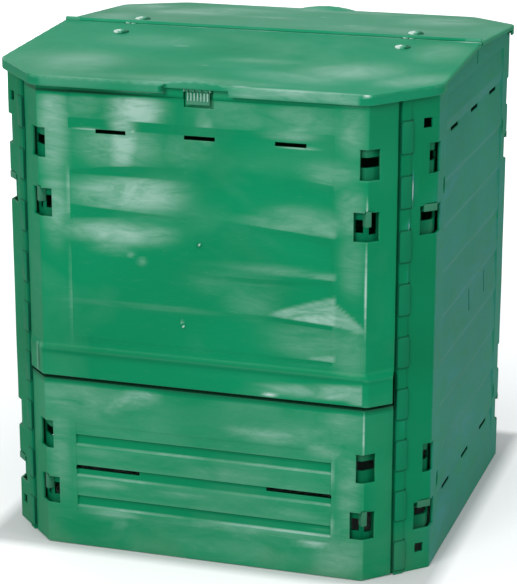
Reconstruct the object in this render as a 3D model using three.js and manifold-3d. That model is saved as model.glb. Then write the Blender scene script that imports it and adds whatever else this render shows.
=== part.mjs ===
// Square garden compost bin of moulded plastic panels, with a two-part roof lid and two removal flaps.
// Millimetres, +Z up. The origin is the bottom centre of the bin. The front faces -Y.

import * as THREE from 'three';
import { mergeVertices } from 'three/addons/utils/BufferGeometryUtils.js';
import Module from 'manifold-3d';

const wasm = await Module();
wasm.setup();

// Body

const bodyWidth = 722;
const bodyDepth = 722;
const cornerLeg = 90;
const wall = 5;
const bendRound = 3;
const seamGap = 5;
const seamShift = 6.5;
const flapSeamHeight = 299;

// Roof lid

const ridgeHeight = 820;
const roofFall = 23.4;
const lidSideOverhang = 6.8;
const lidEndOverhang = 12.4;
const lidCornerLeg = 92.7;
const lidCornerRound = 16;
const lidThickness = 4;
const skirtDepth = 16;
const sideSkirtDepth = 7;
const skirtTurnReach = 26;
const lidEdgeToBar = 2;
const lidRibHeight = 7;
const lidRibThickness = 3;
const lidRibEndInset = 30;
const lidRibShares = [0.32, 0.96];

// Clearances

const seat = 0.3;
const overrun = 1;
const slidingGap = 1;
const cutReach = 8;

// Lapped boards of the panels

const fieldSideMargin = 52;
const fieldTopMargin = 20;
const boardSkin = 4.5;
const boardRelief = 3.4;
const topBoardRelief = 3;
const lapEdgeInset = 0.4;
const topBoardHeight = 42;
const firstLapFall = 18;
const lapFall = 8;
const frontFieldAboveHem = 20;
const frontBoardCount = 5;
const sideBoardCount = 8;
const sideLowestLapHeight = 113;
const sideFieldBottom = 62;
const lastLapFall = 6;

// Air vents

const ventLength = 50;
const ventHeight = 6;
const ventBelowLap = 0.7;
const ventPlaceShares = [-0.676, 0, 0.676];
const slitHeight = 38;
const slitWidth = 4;
const slitAboveSeam = 60;
const slitPlaceShares = [-0.02, 0.53];
const dimpleWidth = 12;
const dimpleHeight = 29;
const dimpleDepth = 3;
const dimpleFromBend = 45;
const dimpleAboveHook = 6.5;

// Hem of the upper panels and the tongue of the flap behind it

const hemHeight = 41;
const hemCornerProud = 10;
const hemShelf = 5;
const hemEndInset = 8;
const hemCornerFall = 23;
const hemCornerStart = 13;
const flapFootGap = 1;
const flapGroove = 7;
const flapTongueSetBack = 4;
const flapTongueRoot = 5;
const flapTongueHeadroom = 2;
const flapLiftMargin = 4;

// Louvres of the flap

const flapFieldBelowSeam = 83;
const flapFieldBottom = 61;
const flapFieldRelief = 1;
const louvreTopMargin = 19;
const louvreFootMargin = 8;
const louvreCount = 3;
const louvreFall = 20;
const louvreDepth = 4;
const louvreLip = 1;
const louvreFloorFall = 16;
const louvreFloorRise = 0.6;
const flapVentHeight = 6;
const flapVentShare = 0.25;
const ventedLouvre = 1;

// Windows in the corner flanges, one pair at each level

const lowerHookHeight = 71;
const upperHookBelowEave = 228;
const hookWindowHeight = 46;
const hookWindowFace = 21;
const hookWindowFrontFlange = 23;
const hookWindowSideFlange = 31;
const keyWindowRise = 97;
const keyWindowHeight = 48;
const keyWindowFace = 12;
const keyWindowFrontFlange = 23;
const keyWindowSideFlange = 16;
const peepSize = 15;
const peepFromBend = 12.6;
const lowerPeepHeight = 31;
const upperPeepBelowEave = 58;

// Seam strip and knuckles on the side walls' flanges

const stripWidth = 15;
const stripProud = 2.5;
const stripSetBack = 0.5;
const knuckleCount = 9;
const knuckleHeight = 52;
const knuckleTopMargin = 43.6;
const knuckleFootMargin = 6.3;
const knuckleWidth = 21;
const knuckleOverlap = 1;
const knuckleProud = 3.5;
const knuckleRound = 5;
const knuckleSlotWidth = 1.6;
const knuckleSlotHeight = 26;
const lapWidth = 26;
const lapThickness = 4;
const lapGap = 0.5;
const lapRoot = 8;
const lapNotchMargin = 4;

// Inner corner brackets

const bracketThickness = 4;
const bracketReturn = 26;
const bracketMargin = 10;
const bracketGap = 0.5;
const frontTongueWidth = 9;
const frontTongueHeight = 22;
const sideTongueWidth = 24;
const sideTongueHeight = 9;
const lipHeight = 2.5;
const lipThickness = 2.4;
const rebateMargin = 1.5;
const bracketSlotHeight = 16;
const bracketSlotRise = 18;
const bracketSlotReach = 6;
const bracketSlotMargin = 1;
const sideHoleHeight = 21;
const sideHoleRise = 12;
const sideHoleWidth = 13;
const frontSlotWidth = 14;
const frontSlotHeight = 35;
const frontSlotRise = 9;
const sideSlotHeight = 15;
const sideSlotRise = 20;

// Ridge bar and its saddles

const barRadius = 4;
const barEndRadius = 5;
const barEndLength = 26;
const barAxisAboveRoof = 0.2;
const barEndRecess = 1.3;
const saddleWidth = 4;
const saddleSlotWidth = 7;
const saddleSlotDepth = 33;
const saddleThickness = 2.6;
const saddleLength = 31;

// Hinge clips with round heads

const clipFromLidSide = 122.8;
const clipOffset = 5;
const clipWidth = 8;
const clipWrap = 3;
const clipArm = 4;
const clipReach = 66;
const clipTail = 6;
const clipHookEndAngle = 12;
const clipHeadRadius = 13;
const clipHeadProud = 2;
const clipHeadRim = 2.6;
const clipHeadDish = 1.2;
const clipDishDepth = 1.5;
const clipShankRadius = 4;
const clipNotchMargin = 3;
const clipNotchDepth = 3.5;

// Grip and latch at the middle of each eave

const gripHalfWidth = 53;
const gripRise = 7;
const gripDepth = 16;
const gripSkirt = 7;
const latchHalfWidth = 19;
const latchPlate = 3;
const latchDrop = 24;
const latchPinRadius = 2;
const latchPinFromWall = 3.5;
const latchPinBelowRoof = 5.6;
const latchEyeWall = 2;
const latchEyeWidth = 4;
const latchEyeShares = [-0.84, -0.3, 0.3, 0.84];
const latchSnapWidth = 3.2;
const latchPlateInset = 2;
const earThickness = 3;
const earGap = 0.6;
const earMargin = 3.4;
const noseDepth = 3;
const noseHeight = 3;
const noseRise = 3;
const latchPressAngle = 5;
const pocketHalfWidth = 24;
const pocketGap = 0.4;
const pocketBelowLatch = 4;
const keeperHeight = 4;
const keeperGap = 0.5;

// Fineness of round stretches

const fewFacets = 4;
const ringFacets = 16;
const headFacets = 24;
const knuckleFacets = 3;

// Sizes worked out from those above

const halfWidth = bodyWidth / 2;
const halfDepth = bodyDepth / 2;
const flangeHalf = cornerLeg / Math.SQRT2;
const lidHalfWidth = halfWidth + lidSideOverhang;
const lidHalfDepth = halfDepth + lidEndOverhang;
const roofSlope = roofFall / lidHalfDepth;
const roofTopAt = (fromRidge) => ridgeHeight - roofSlope * fromRidge;
const roofUnderAt = (fromRidge) => roofTopAt(fromRidge) - lidThickness;
const endWallTop = roofUnderAt(halfDepth) - seat;
const endFlangeEnd = -(seamShift + seamGap / 2);
const sideFlangeEnd = seamShift - seamGap / 2;
const bracketInset = wall + lapGap + lapThickness + bracketGap;
const barAxisHeight = ridgeHeight + barAxisAboveRoof;
const lidInnerEdge = barRadius + lidEdgeToBar;
const latchPinY = -(halfDepth + latchPinFromWall);
const latchPinZ = roofUnderAt(-latchPinY) - latchPinBelowRoof;
const latchBottom = latchPinZ - latchDrop;
const fieldTop = endWallTop - fieldTopMargin;
const firstLapHeight = fieldTop - topBoardHeight;
const boardTop = firstLapHeight - firstLapFall;
const frontFieldBottom = flapSeamHeight + hemHeight + frontFieldAboveHem;
const sideBoardPitch = (boardTop - sideLowestLapHeight) / sideBoardCount;
const flapFieldTop = flapSeamHeight - flapFieldBelowSeam;
const louvreTop = flapFieldTop - louvreTopMargin;
const louvrePitch = (louvreTop - louvreFall - flapFieldBottom - louvreFootMargin) / (louvreCount - 1);
const hookLevels = [
  { name: 'lower', height: lowerHookHeight }, { name: 'upper', height: endWallTop - upperHookBelowEave },
];
const peepHeights = [lowerPeepHeight, endWallTop - upperPeepBelowEave];
const knuckleTop = endWallTop - knuckleTopMargin;
const knucklePitch = (knuckleTop - knuckleHeight - knuckleFootMargin) / (knuckleCount - 1);
const clipSpacing = lidHalfWidth - clipFromLidSide;
const latchPress = Math.sin(latchPressAngle * Math.PI / 180);
const noseReach = latchPlateInset + latchPlate + noseDepth;
const pocketFloor = latchPinY + noseReach + latchDrop * latchPress + pocketGap;
const hemFaceProud = wall + slidingGap;
const flapLift = hookWindowHeight - frontTongueHeight - flapLiftMargin;
const flapTongueRise = hemHeight - flapLift - flapTongueHeadroom;
const quarterTurn = Math.PI / 2;

// Solids from three.js geometry, joined and cut

function solidOf(geometry) {
  const bare = geometry.index ? geometry.toNonIndexed() : geometry.clone();
  bare.deleteAttribute('normal');
  bare.deleteAttribute('uv');
  const merged = mergeVertices(bare);
  return new wasm.Manifold(new wasm.Mesh({
    numProp: 3,
    vertProperties: new Float32Array(merged.attributes.position.array),
    triVerts: new Uint32Array(merged.index.array),
  }));
}

function geometryOf(solid) {
  const mesh = solid.getMesh();
  const geometry = new THREE.BufferGeometry();
  geometry.setAttribute('position', new THREE.BufferAttribute(new Float32Array(mesh.vertProperties), 3));
  geometry.setIndex(new THREE.BufferAttribute(new Uint32Array(mesh.triVerts), 1));
  geometry.computeVertexNormals();
  return geometry;
}

const joined = (solids) => solids.reduce((whole, solid) => whole.add(solid));
const cutBy = (solid, cutters) => cutters.reduce((whole, cutter) => whole.subtract(cutter), solid);

const point = (x, y) => new THREE.Vector2(x, y);

// A closed outline whose listed corners may be rounded over a tangent length.
function roundedShape(corners) {
  const shape = new THREE.Shape();
  corners.forEach(({ at, round = 0 }, index) => {
    const before = corners[(index + corners.length - 1) % corners.length].at;
    const after = corners[(index + 1) % corners.length].at;
    const towards = (other) => at.clone().add(other.clone().sub(at).normalize().multiplyScalar(round));
    const start = round > 0 ? towards(before) : at;
    if (index === 0) shape.moveTo(start.x, start.y);
    else shape.lineTo(start.x, start.y);
    if (round > 0) {
      const end = towards(after);
      shape.quadraticCurveTo(at.x, at.y, end.x, end.y);
    }
  });
  shape.closePath();
  return shape;
}

const outline = (points) => roundedShape(points.map((at) => ({ at })));

// The path moved sideways, with mitred corners. A positive inset moves it to the left of its direction.
function offsetPath(points, inset) {
  return points.map((at, index) => {
    const normals = [];
    for (const [from, to] of [[points[index - 1], at], [at, points[index + 1]]]) {
      if (!from || !to) continue;
      const along = to.clone().sub(from).normalize();
      normals.push(point(-along.y, along.x));
    }
    const sum = normals.reduce((total, normal) => total.clone().add(normal));
    return at.clone().addScaledVector(sum, normals.length * inset / sum.lengthSq());
  });
}

// A strip of constant thickness that follows a path in plan, with its inner corners rounded.
function bandShape(path, outerInset, innerInset, round = 0) {
  const corner = (at, index) => ({ at, round: index > 0 && index < path.length - 1 ? round : 0 });
  const outer = offsetPath(path, outerInset).map(corner);
  const inner = offsetPath(path, innerInset).map(corner).reverse();
  return roundedShape([...outer, ...inner]);
}

function extruded(shape, length, segments = fewFacets) {
  return new THREE.ExtrudeGeometry(shape, { depth: length, bevelEnabled: false, curveSegments: segments });
}

// A plan outline raised from one height to another.
function raised(shape, bottom, top, segments) {
  return solidOf(extruded(shape, top - bottom, segments).translate(0, 0, bottom));
}

// An outline drawn in Y and Z, run along X between two places.
function runAlongX(shape, from, to, segments) {
  const turned = new THREE.Matrix4().makeBasis(
    new THREE.Vector3(0, 1, 0), new THREE.Vector3(0, 0, 1), new THREE.Vector3(1, 0, 0));
  return solidOf(extruded(shape, to - from, segments).applyMatrix4(turned).translate(from, 0, 0));
}

// An outline drawn in X and Z, run along Y between two places.
function runAlongY(shape, from, to, segments) {
  return solidOf(extruded(shape, to - from, segments).rotateX(quarterTurn).translate(0, to, 0));
}

function blockGeometry(x0, x1, y0, y1, z0, z1) {
  return new THREE.BoxGeometry(x1 - x0, y1 - y0, z1 - z0)
    .translate((x0 + x1) / 2, (y0 + y1) / 2, (z0 + z1) / 2);
}

const block = (...limits) => solidOf(blockGeometry(...limits));

// Every wall is drawn with its outer face towards -Y and then turned to its side of the bin.
// halfRun is half its length, reach is how far its outer face lies from the middle, and fieldHalf is
// half the width of its field of boards. It also carries the sizes of the windows in its flanges and
// of the tongues that come through them.

const endWall = {
  halfRun: halfWidth,
  reach: halfDepth,
  flangeEnd: endFlangeEnd,
  fieldHalf: halfWidth - cornerLeg - fieldSideMargin,
  hookFlange: hookWindowFrontFlange,
  keyFlange: keyWindowFrontFlange,
  tongue: { width: frontTongueWidth, height: frontTongueHeight },
};
const sideWall = {
  halfRun: halfDepth,
  reach: halfWidth,
  flangeEnd: sideFlangeEnd,
  fieldHalf: halfDepth - cornerLeg - fieldSideMargin,
  hookFlange: hookWindowSideFlange,
  keyFlange: keyWindowSideFlange,
  tongue: { width: sideTongueWidth, height: sideTongueHeight },
};

function wallPath({ halfRun, reach, flangeEnd }, cutBack = 0) {
  const half = (flangeHalf + flangeEnd - cutBack) / Math.SQRT2;
  const bend = halfRun - cornerLeg;
  return [
    point(-bend - half, -reach + half), point(-bend, -reach),
    point(bend, -reach), point(bend + half, -reach + half),
  ];
}

// Places a geometry drawn on a corner flange: X runs from the middle of the cut corner away from the
// wall, Y runs inwards from its outer face.
function onCorner({ halfRun, reach }, side, geometry) {
  return solidOf(geometry.rotateZ(side * Math.PI / 4)
    .translate(side * (halfRun - cornerLeg / 2), -(reach - cornerLeg / 2), 0));
}

function cornerBlock(run, side, s0, s1, d0, d1, z0, z1) {
  const [near, far] = side > 0 ? [s0, s1] : [-s1, -s0];
  return onCorner(run, side, blockGeometry(near, far, d0, d1, z0, z1));
}

// A path round one bend of a wall, with the given lengths on the face and on the flange.
function bendPath({ halfRun, reach }, side, faceLength, flangeLength) {
  const bend = halfRun - cornerLeg;
  const leg = flangeLength / Math.SQRT2;
  const path = [
    point(side * (bend - faceLength), -reach), point(side * bend, -reach),
    point(side * (bend + leg), -reach + leg),
  ];
  return side > 0 ? path : path.reverse();
}

function bendWindow(run, side, faceLength, flangeLength, bottom, height) {
  const shape = bandShape(bendPath(run, side, faceLength, flangeLength), -cutReach, bracketInset - seat);
  return raised(shape, bottom, bottom + height);
}

// The key window and the hook window of one bend at one level, with the rebate that takes the hook's lip.
function flangeWindows(run, side, level) {
  const hookTop = level.height + hookWindowHeight;
  const rebateDepth = lipThickness + 2 * seat;
  return [
    bendWindow(run, side, hookWindowFace, run.hookFlange, level.height, hookWindowHeight),
    bendWindow(run, side, keyWindowFace, run.keyFlange, level.height + keyWindowRise, keyWindowHeight),
    cornerBlock(run, side, -flangeHalf - rebateMargin, run.tongue.width - flangeHalf + rebateMargin,
      -cutReach, rebateDepth, hookTop - overrun, hookTop + lipHeight + rebateMargin),
  ];
}

// Lapped boards: each board leans out towards its lower edge and steps back under it.
function boardProfile(laps) {
  const profile = [{ depth: topBoardRelief, height: fieldTop }];
  for (const { height, fall } of laps) {
    profile.push({ depth: lapEdgeInset, height });
    profile.push({ depth: boardRelief, height: height - fall });
  }
  return profile;
}

// A field of boards or louvres let into a wall: a thick block behind the face, whose back follows the
// relief one skin deeper, and the relief itself cut from the front.
function fieldInWall(run, body, profile) {
  const y = (depth) => depth - run.reach;
  const top = profile[0];
  const sill = profile[profile.length - 1];
  const surface = (extra) => profile.map(({ depth, height }) => point(y(depth + extra), height));
  const back = outline([
    point(y(wall / 2), top.height + boardSkin), point(y(top.depth + boardSkin), top.height + boardSkin),
    ...surface(boardSkin),
    point(y(sill.depth + boardSkin), sill.height - boardSkin), point(y(wall / 2), sill.height - boardSkin),
  ]);
  const relief = outline([point(y(-overrun), top.height), ...surface(0), point(y(-overrun), sill.height)]);
  const ends = run.fieldHalf + boardSkin;
  return body.add(runAlongX(back, -ends, ends)).subtract(runAlongX(relief, -run.fieldHalf, run.fieldHalf));
}

// Upright or lying slots through a field of boards, each placed by its share of the field's half width.
function ventRow(run, height, length, slotHeight, placeShares) {
  return placeShares.map((share) => {
    const x = share * run.fieldHalf;
    return block(x - length / 2, x + length / 2, -run.reach - overrun,
      -run.reach + boardRelief + boardSkin + overrun, height - slotHeight, height);
  });
}

// The pocket for the latch, stepped in from the face, with the keeper rib that the nose snaps under.
function withLatchPocket(body) {
  const face = -halfDepth;
  const bottom = latchBottom - pocketBelowLatch;
  const keeperBottom = latchBottom + noseRise + noseHeight + noseReach * latchPress + keeperGap;
  const box = block(-pocketHalfWidth - wall, pocketHalfWidth + wall, face + overrun, pocketFloor + wall,
    bottom - wall, endWallTop);
  const room = block(-pocketHalfWidth, pocketHalfWidth, face - overrun, pocketFloor, bottom,
    endWallTop + overrun);
  const keeperFront = latchPinY + noseReach + keeperGap;
  const keeper = block(-latchHalfWidth, latchHalfWidth, keeperFront, pocketFloor + overrun,
    keeperBottom, keeperBottom + keeperHeight);
  return body.add(box).subtract(room).add(keeper);
}

// Upper panel of the front or the rear: boards, a proud hem along its lower edge, and a latch pocket.
function upperPanel() {
  const path = wallPath(endWall);
  const hemPath = hemmedPath();
  const hemTop = flapSeamHeight + hemHeight;
  const shell = raised(bandShape(path, 0, wall, bendRound), hemTop, endWallTop);
  const hem = raised(bandShape(hemPath, 0, wall, bendRound), flapSeamHeight, hemTop + hemShelf);
  const shelf = raised(roundedShape([
    ...hemPath.map((at) => ({ at })),
    ...offsetPath(wallPath(endWall, hemEndInset), wall).reverse().map((at) => ({ at })),
  ]), hemTop, hemTop + hemShelf);
  const laps = [{ height: firstLapHeight, fall: firstLapFall }];
  const pitch = (boardTop - frontFieldBottom) / frontBoardCount;
  for (let board = 1; board < frontBoardCount; board += 1) {
    laps.push({ height: boardTop - board * pitch, fall: lapFall });
  }
  laps.push({ height: frontFieldBottom + lastLapFall, fall: lastLapFall });
  const body = fieldInWall(endWall, joined([shell, hem, shelf]), boardProfile(laps));
  const cutters = ventRow(endWall, boardTop - ventBelowLap, ventLength, ventHeight, ventPlaceShares);
  const level = hookLevels[1];
  for (const side of [-1, 1]) {
    cutters.push(...flangeWindows(endWall, side, level));
    cutters.push(flangeCornerCut(side, hemTop));
  }
  return withLatchPocket(cutBy(body, cutters));
}

// The hem stands proud of the face and further proud of the corner flanges.
function hemmedPath() {
  const [, , bend, end] = offsetPath(wallPath(endWall, hemEndInset), -hemCornerProud);
  const face = -halfDepth - hemFaceProud;
  const proudBend = point(bend.x + (face - bend.y), face);
  const mirrored = (at) => point(-at.x, at.y);
  return [mirrored(end), mirrored(proudBend), proudBend, end];
}

// The lower end of each flange edge is cut back along a slanted line above the hem.
function flangeCornerCut(side, hemTop) {
  const bottom = hemTop - overrun;
  const slopeStart = hemTop + hemCornerStart;
  const end = endFlangeEnd;
  const shape = outline([
    point(side * (end + overrun), bottom), point(side * (end - hemEndInset), bottom),
    point(side * (end - hemEndInset), slopeStart - hemCornerFall / 2),
    point(side * (end + overrun), slopeStart),
  ]);
  const thickness = wall + 2 * overrun + hemCornerProud;
  const geometry = extruded(shape, thickness).rotateX(quarterTurn).translate(0, wall + overrun, 0);
  return onCorner(endWall, side, geometry);
}

// Removal flap: louvres, a groove under the hem and a tongue that stands behind the hem.
function removalFlap() {
  const path = wallPath(endWall);
  const skinTop = flapSeamHeight - flapGroove;
  const shell = raised(bandShape(path, 0, wall, bendRound), flapFootGap, skinTop);
  const tongue = raised(
    bandShape(wallPath(endWall, hemEndInset), flapTongueSetBack, flapTongueSetBack + wall, bendRound),
    skinTop - flapTongueRoot, flapSeamHeight + flapTongueRise);
  const profile = [{ depth: flapFieldRelief, height: flapFieldTop }];
  for (let louvre = 0; louvre < louvreCount; louvre += 1) {
    const height = louvreTop - louvre * louvrePitch;
    profile.push({ depth: flapFieldRelief, height });
    const floorDepth = flapFieldRelief + louvreDepth;
    profile.push({ depth: floorDepth, height: height - louvreLip });
    profile.push({ depth: floorDepth - louvreFloorRise, height: height - louvreFloorFall });
    profile.push({ depth: flapFieldRelief, height: height - louvreFall });
  }
  profile.push({ depth: flapFieldRelief, height: flapFieldBottom });
  const body = fieldInWall(endWall, shell.add(tongue), profile);
  const ventTop = louvreTop - ventedLouvre * louvrePitch - louvreLip - ventBelowLap;
  const flapVentLength = 2 * endWall.fieldHalf * flapVentShare;
  const ventShares = [flapVentShare - 1, 1 - flapVentShare];
  const cutters = ventRow(endWall, ventTop, flapVentLength, flapVentHeight, ventShares);
  for (const side of [-1, 1]) {
    cutters.push(...flangeWindows(endWall, side, hookLevels[0]));
  }
  return cutBy(body, cutters);
}

// Knuckles stand along the seam at a steady pitch. Each is a round-ended pad with a slot beside its
// upper half.
function knuckleShape() {
  const right = sideFlangeEnd + knuckleOverlap;
  const left = right - knuckleWidth;
  const corner = (x, z) => ({ at: point(x, z), round: knuckleRound });
  return roundedShape([
    corner(left, 0), corner(right, 0), corner(right, knuckleHeight), corner(left, knuckleHeight),
  ]);
}

function seamStrip(side) {
  const top = roofUnderAt(halfDepth) - seat;
  const stripEnd = sideFlangeEnd - stripSetBack;
  const stripStart = stripEnd - stripWidth;
  const strip = cornerBlock(sideWall, side, stripStart, stripEnd, -stripProud, wall / 2, 0, top);
  const lapEnd = sideFlangeEnd + lapWidth;
  const lapStart = sideFlangeEnd - lapRoot;
  const lapInner = wall + lapGap + lapThickness;
  const lap = cornerBlock(sideWall, side, lapStart, lapEnd - lapRoot, wall + lapGap, lapInner, 0, top)
    .subtract(cornerBlock(sideWall, side, sideFlangeEnd, lapEnd, wall, lapInner + overrun,
      flapSeamHeight - flapGroove - flapTongueRoot - lapNotchMargin,
      flapSeamHeight + hemHeight + lapNotchMargin));
  const root = cornerBlock(sideWall, side, lapStart + stripSetBack, stripEnd,
    wall - stripSetBack, lapInner - stripSetBack, 0, top);
  const knuckles = [];
  const slots = [];
  for (let index = 0; index < knuckleCount; index += 1) {
    const bottom = knuckleTop - knuckleHeight - index * knucklePitch;
    const pad = extruded(knuckleShape(), wall / 2 + knuckleProud, knuckleFacets)
      .rotateX(quarterTurn).translate(0, wall / 2 + stripSetBack, Math.max(bottom, 0));
    if (side < 0) pad.scale(-1, 1, 1);
    knuckles.push(onCorner(sideWall, side, side < 0 ? flipped(pad) : pad));
    const slotLeft = sideFlangeEnd + knuckleOverlap - knuckleWidth - knuckleSlotWidth + stripSetBack;
    slots.push(cornerBlock(sideWall, side, slotLeft, slotLeft + knuckleSlotWidth,
      -knuckleProud - overrun, wall / 2, bottom + knuckleRound, bottom + knuckleRound + knuckleSlotHeight));
  }
  return { solids: [strip, lap, root, ...knuckles], slots };
}

// A mirrored geometry has its triangles turned so that they face out again.
function flipped(geometry) {
  const loose = geometry.index ? geometry.toNonIndexed() : geometry;
  const places = loose.attributes.position;
  for (let corner = 0; corner < places.count; corner += 3) {
    const second = new THREE.Vector3().fromBufferAttribute(places, corner + 1);
    const third = new THREE.Vector3().fromBufferAttribute(places, corner + 2);
    places.setXYZ(corner + 1, third.x, third.y, third.z);
    places.setXYZ(corner + 2, second.x, second.y, second.z);
  }
  return loose;
}

// Side wall: one full-height panel with a gabled top edge, boards, vents, seam strips and a saddle slot.
function fullWall() {
  const shell = raised(bandShape(wallPath(sideWall), 0, wall, bendRound), 0, ridgeHeight);
  const laps = [{ height: firstLapHeight, fall: firstLapFall }];
  for (let board = 1; board <= sideBoardCount; board += 1) {
    laps.push({ height: boardTop - board * sideBoardPitch, fall: lapFall });
  }
  const lowVentTop = sideLowestLapHeight - lapFall - ventBelowLap;
  const slitTop = flapSeamHeight + slitAboveSeam + slitHeight;
  const strips = [seamStrip(-1), seamStrip(1)];
  const seams = joined(strips.flatMap(({ solids }) => solids));
  const profile = [...boardProfile(laps), { depth: lapEdgeInset, height: sideFieldBottom }];
  const body = fieldInWall(sideWall, shell.add(seams), profile);
  const cutters = [
    ...ventRow(sideWall, boardTop - ventBelowLap, ventLength, ventHeight, ventPlaceShares),
    ...ventRow(sideWall, lowVentTop, ventLength, ventHeight, ventPlaceShares),
    ...ventRow(sideWall, slitTop, slitWidth, slitHeight, slitPlaceShares),
    ...strips.flatMap(({ slots }) => slots),
    gableCutter(),
    block(-saddleSlotWidth / 2, saddleSlotWidth / 2, -sideWall.reach - overrun,
      -sideWall.reach + wall + overrun, roofUnderAt(0) - saddleSlotDepth, ridgeHeight + overrun),
  ];
  for (const side of [-1, 1]) {
    for (const level of hookLevels) {
      cutters.push(...flangeWindows(sideWall, side, level));
      cutters.push(dimple(side, level.height + hookWindowHeight + dimpleAboveHook));
    }
    for (const height of peepHeights) {
      const start = peepFromBend - flangeHalf;
      cutters.push(cornerBlock(sideWall, side, start, start + peepSize,
        -cutReach, wall + overrun, height, height + peepSize));
    }
  }
  return cutBy(body, cutters);
}

function dimple(side, height) {
  const across = dimpleWidth / 2;
  const along = dimpleHeight / 2;
  const middle = side * (sideWall.halfRun - cornerLeg - dimpleFromBend);
  const shape = new THREE.Shape();
  shape.moveTo(middle, height);
  shape.quadraticCurveTo(middle + across * 2, height + along, middle, height + dimpleHeight);
  shape.quadraticCurveTo(middle - across * 2, height + along, middle, height);
  return runAlongY(shape, -sideWall.reach - overrun, -sideWall.reach + dimpleDepth);
}

function gableCutter() {
  const far = halfDepth + overrun;
  const shape = outline([
    point(-far, roofUnderAt(far) - seat), point(0, roofUnderAt(0) - seat),
    point(far, roofUnderAt(far) - seat),
    point(far, ridgeHeight + overrun), point(-far, ridgeHeight + overrun),
  ]);
  return runAlongY(shape, -sideWall.reach - cutReach, -sideWall.reach + cornerLeg);
}

// Inner corner bracket: a plate bent round the corner, whose two tongues hold both walls through their
// windows. It is drawn at the right end of a wall and turned to its corner.
function cornerBracket(level, corner, neighbour) {
  const bottom = level.height - bracketMargin;
  const top = level.height + keyWindowRise + keyWindowHeight + bracketMargin;
  const { halfRun, reach } = corner;
  const bend = halfRun - cornerLeg;
  const path = [
    point(bend - bracketReturn, -reach), point(bend, -reach),
    point(halfRun, cornerLeg - reach), point(halfRun, cornerLeg + bracketReturn - reach),
  ];
  const plate = raised(bandShape(path, bracketInset, bracketInset + bracketThickness), bottom, top);
  const neckTop = level.height + hookWindowHeight - seat;
  const slotBottom = level.height + keyWindowRise + bracketSlotRise;
  const solids = [plate];
  const cutters = [];
  for (const [side, run] of [[-1, corner], [1, neighbour]]) {
    const { tongue, keyFlange } = run;
    const near = side < 0 ? -flangeHalf : flangeHalf - tongue.width;
    const far = near + tongue.width;
    const neckBottom = neckTop - tongue.height;
    const root = bracketInset + bracketThickness / 2;
    const lipTop = neckTop + lipHeight;
    solids.push(cornerBlock(corner, 1, near, far, seat, root, neckBottom, neckTop));
    solids.push(cornerBlock(corner, 1, near, far, seat, seat + lipThickness, neckBottom, lipTop));
    cutters.push(bracketHole(corner, side, -keyWindowFace - bracketSlotReach, keyFlange + bracketSlotReach,
      slotBottom, bracketSlotHeight));
    cutters.push(...(run === endWall ? endSlots : sideSlots)(corner, side, level.height));
  }
  return cutBy(joined(solids), cutters);
}

// Behind a hook window of an end wall the bracket has one hole on the face and one beside the tongue.
function endSlots(corner, side, windowBottom) {
  const start = frontTongueWidth + bracketSlotMargin;
  return [
    bracketHole(corner, side, -hookWindowFace, sideHoleWidth - hookWindowFace, windowBottom + sideHoleRise,
      sideHoleHeight),
    bracketHole(corner, side, start, start + frontSlotWidth, windowBottom + frontSlotRise, frontSlotHeight),
  ];
}

// Behind a hook window of a side wall it has one lying hole that runs round the bend under the tongue.
function sideSlots(corner, side, windowBottom) {
  const bottom = windowBottom + sideSlotRise;
  return [bracketHole(corner, side, -hookWindowFace, sideTongueWidth, bottom, sideSlotHeight)];
}

// A hole through the bracket between two places measured round the bend, negative on the wall's face.
function bracketHole({ halfRun, reach }, side, from, to, bottom, height) {
  const inner = bracketInset + bracketThickness + overrun;
  const bend = halfRun - cornerLeg;
  const place = (length) => {
    const leg = length / Math.SQRT2;
    return length < 0 ? point(bend + length, -reach) : point(bend + leg, -reach + leg);
  };
  const middle = from < 0 && to > 0 ? [point(bend, -reach)] : [];
  let path = [place(from), ...middle, place(to)];
  if (side > 0) path = path.map((at) => point(halfRun - reach - at.y, halfRun - reach - at.x)).reverse();
  return raised(bandShape(path, bracketInset - overrun, inner), bottom, bottom + height);
}

// Half of the roof lid, over the front. The other half is the same moulding turned round.
function lidHalf() {
  const body = roofBlock(0, skirtDepth, 0);
  const hollow = roofBlock(lidThickness, skirtDepth + overrun, lidThickness)
    .add(block(-lidHalfWidth + lidThickness, lidHalfWidth - lidThickness, -lidInnerEdge - overrun, overrun,
      roofUnderAt(0) - skirtDepth, roofUnderAt(lidInnerEdge)));
  const clipAt = clipPlaces();
  const cutters = [hollow, skirtGripCut(), ...sideSkirtCuts()];
  const additions = [grip(), ...latchEars(), ...lidRibs()];
  for (const x of clipAt) {
    const y = -clipReach;
    const top = roofTopAt(clipReach);
    cutters.push(disc(x, y, clipHeadRadius + seat, top - clipDishDepth, top + overrun * 2));
    cutters.push(disc(x, y, clipShankRadius + seat, top - lidThickness * 2, top));
  }
  for (const side of [-1, 1]) {
    const half = clipOffset + clipWidth / 2 + clipNotchMargin;
    cutters.push(block(side * clipSpacing - half, side * clipSpacing + half,
      -lidInnerEdge - clipNotchDepth, 0, roofUnderAt(0) - skirtDepth, ridgeHeight + overrun));
  }
  const shell = cutBy(body, [hollow]);
  return cutBy(joined([shell, ...additions]), cutters.slice(1));
}

// Along both sides the skirt is cut shorter, from a short way past the cut corner to the ridge.
function sideSkirtCuts() {
  const end = lidHalfDepth - lidCornerLeg - skirtTurnReach;
  const under = (fromRidge) => roofTopAt(fromRidge) - sideSkirtDepth;
  const shape = outline([
    point(overrun, under(0)), point(-end, under(end)),
    point(-end, under(end) - skirtDepth), point(overrun, under(0) - skirtDepth),
  ]);
  const inner = lidHalfWidth - lidThickness - overrun;
  const outer = lidHalfWidth + overrun;
  return [runAlongX(shape, -outer, -inner), runAlongX(shape, inner, outer)];
}

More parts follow.
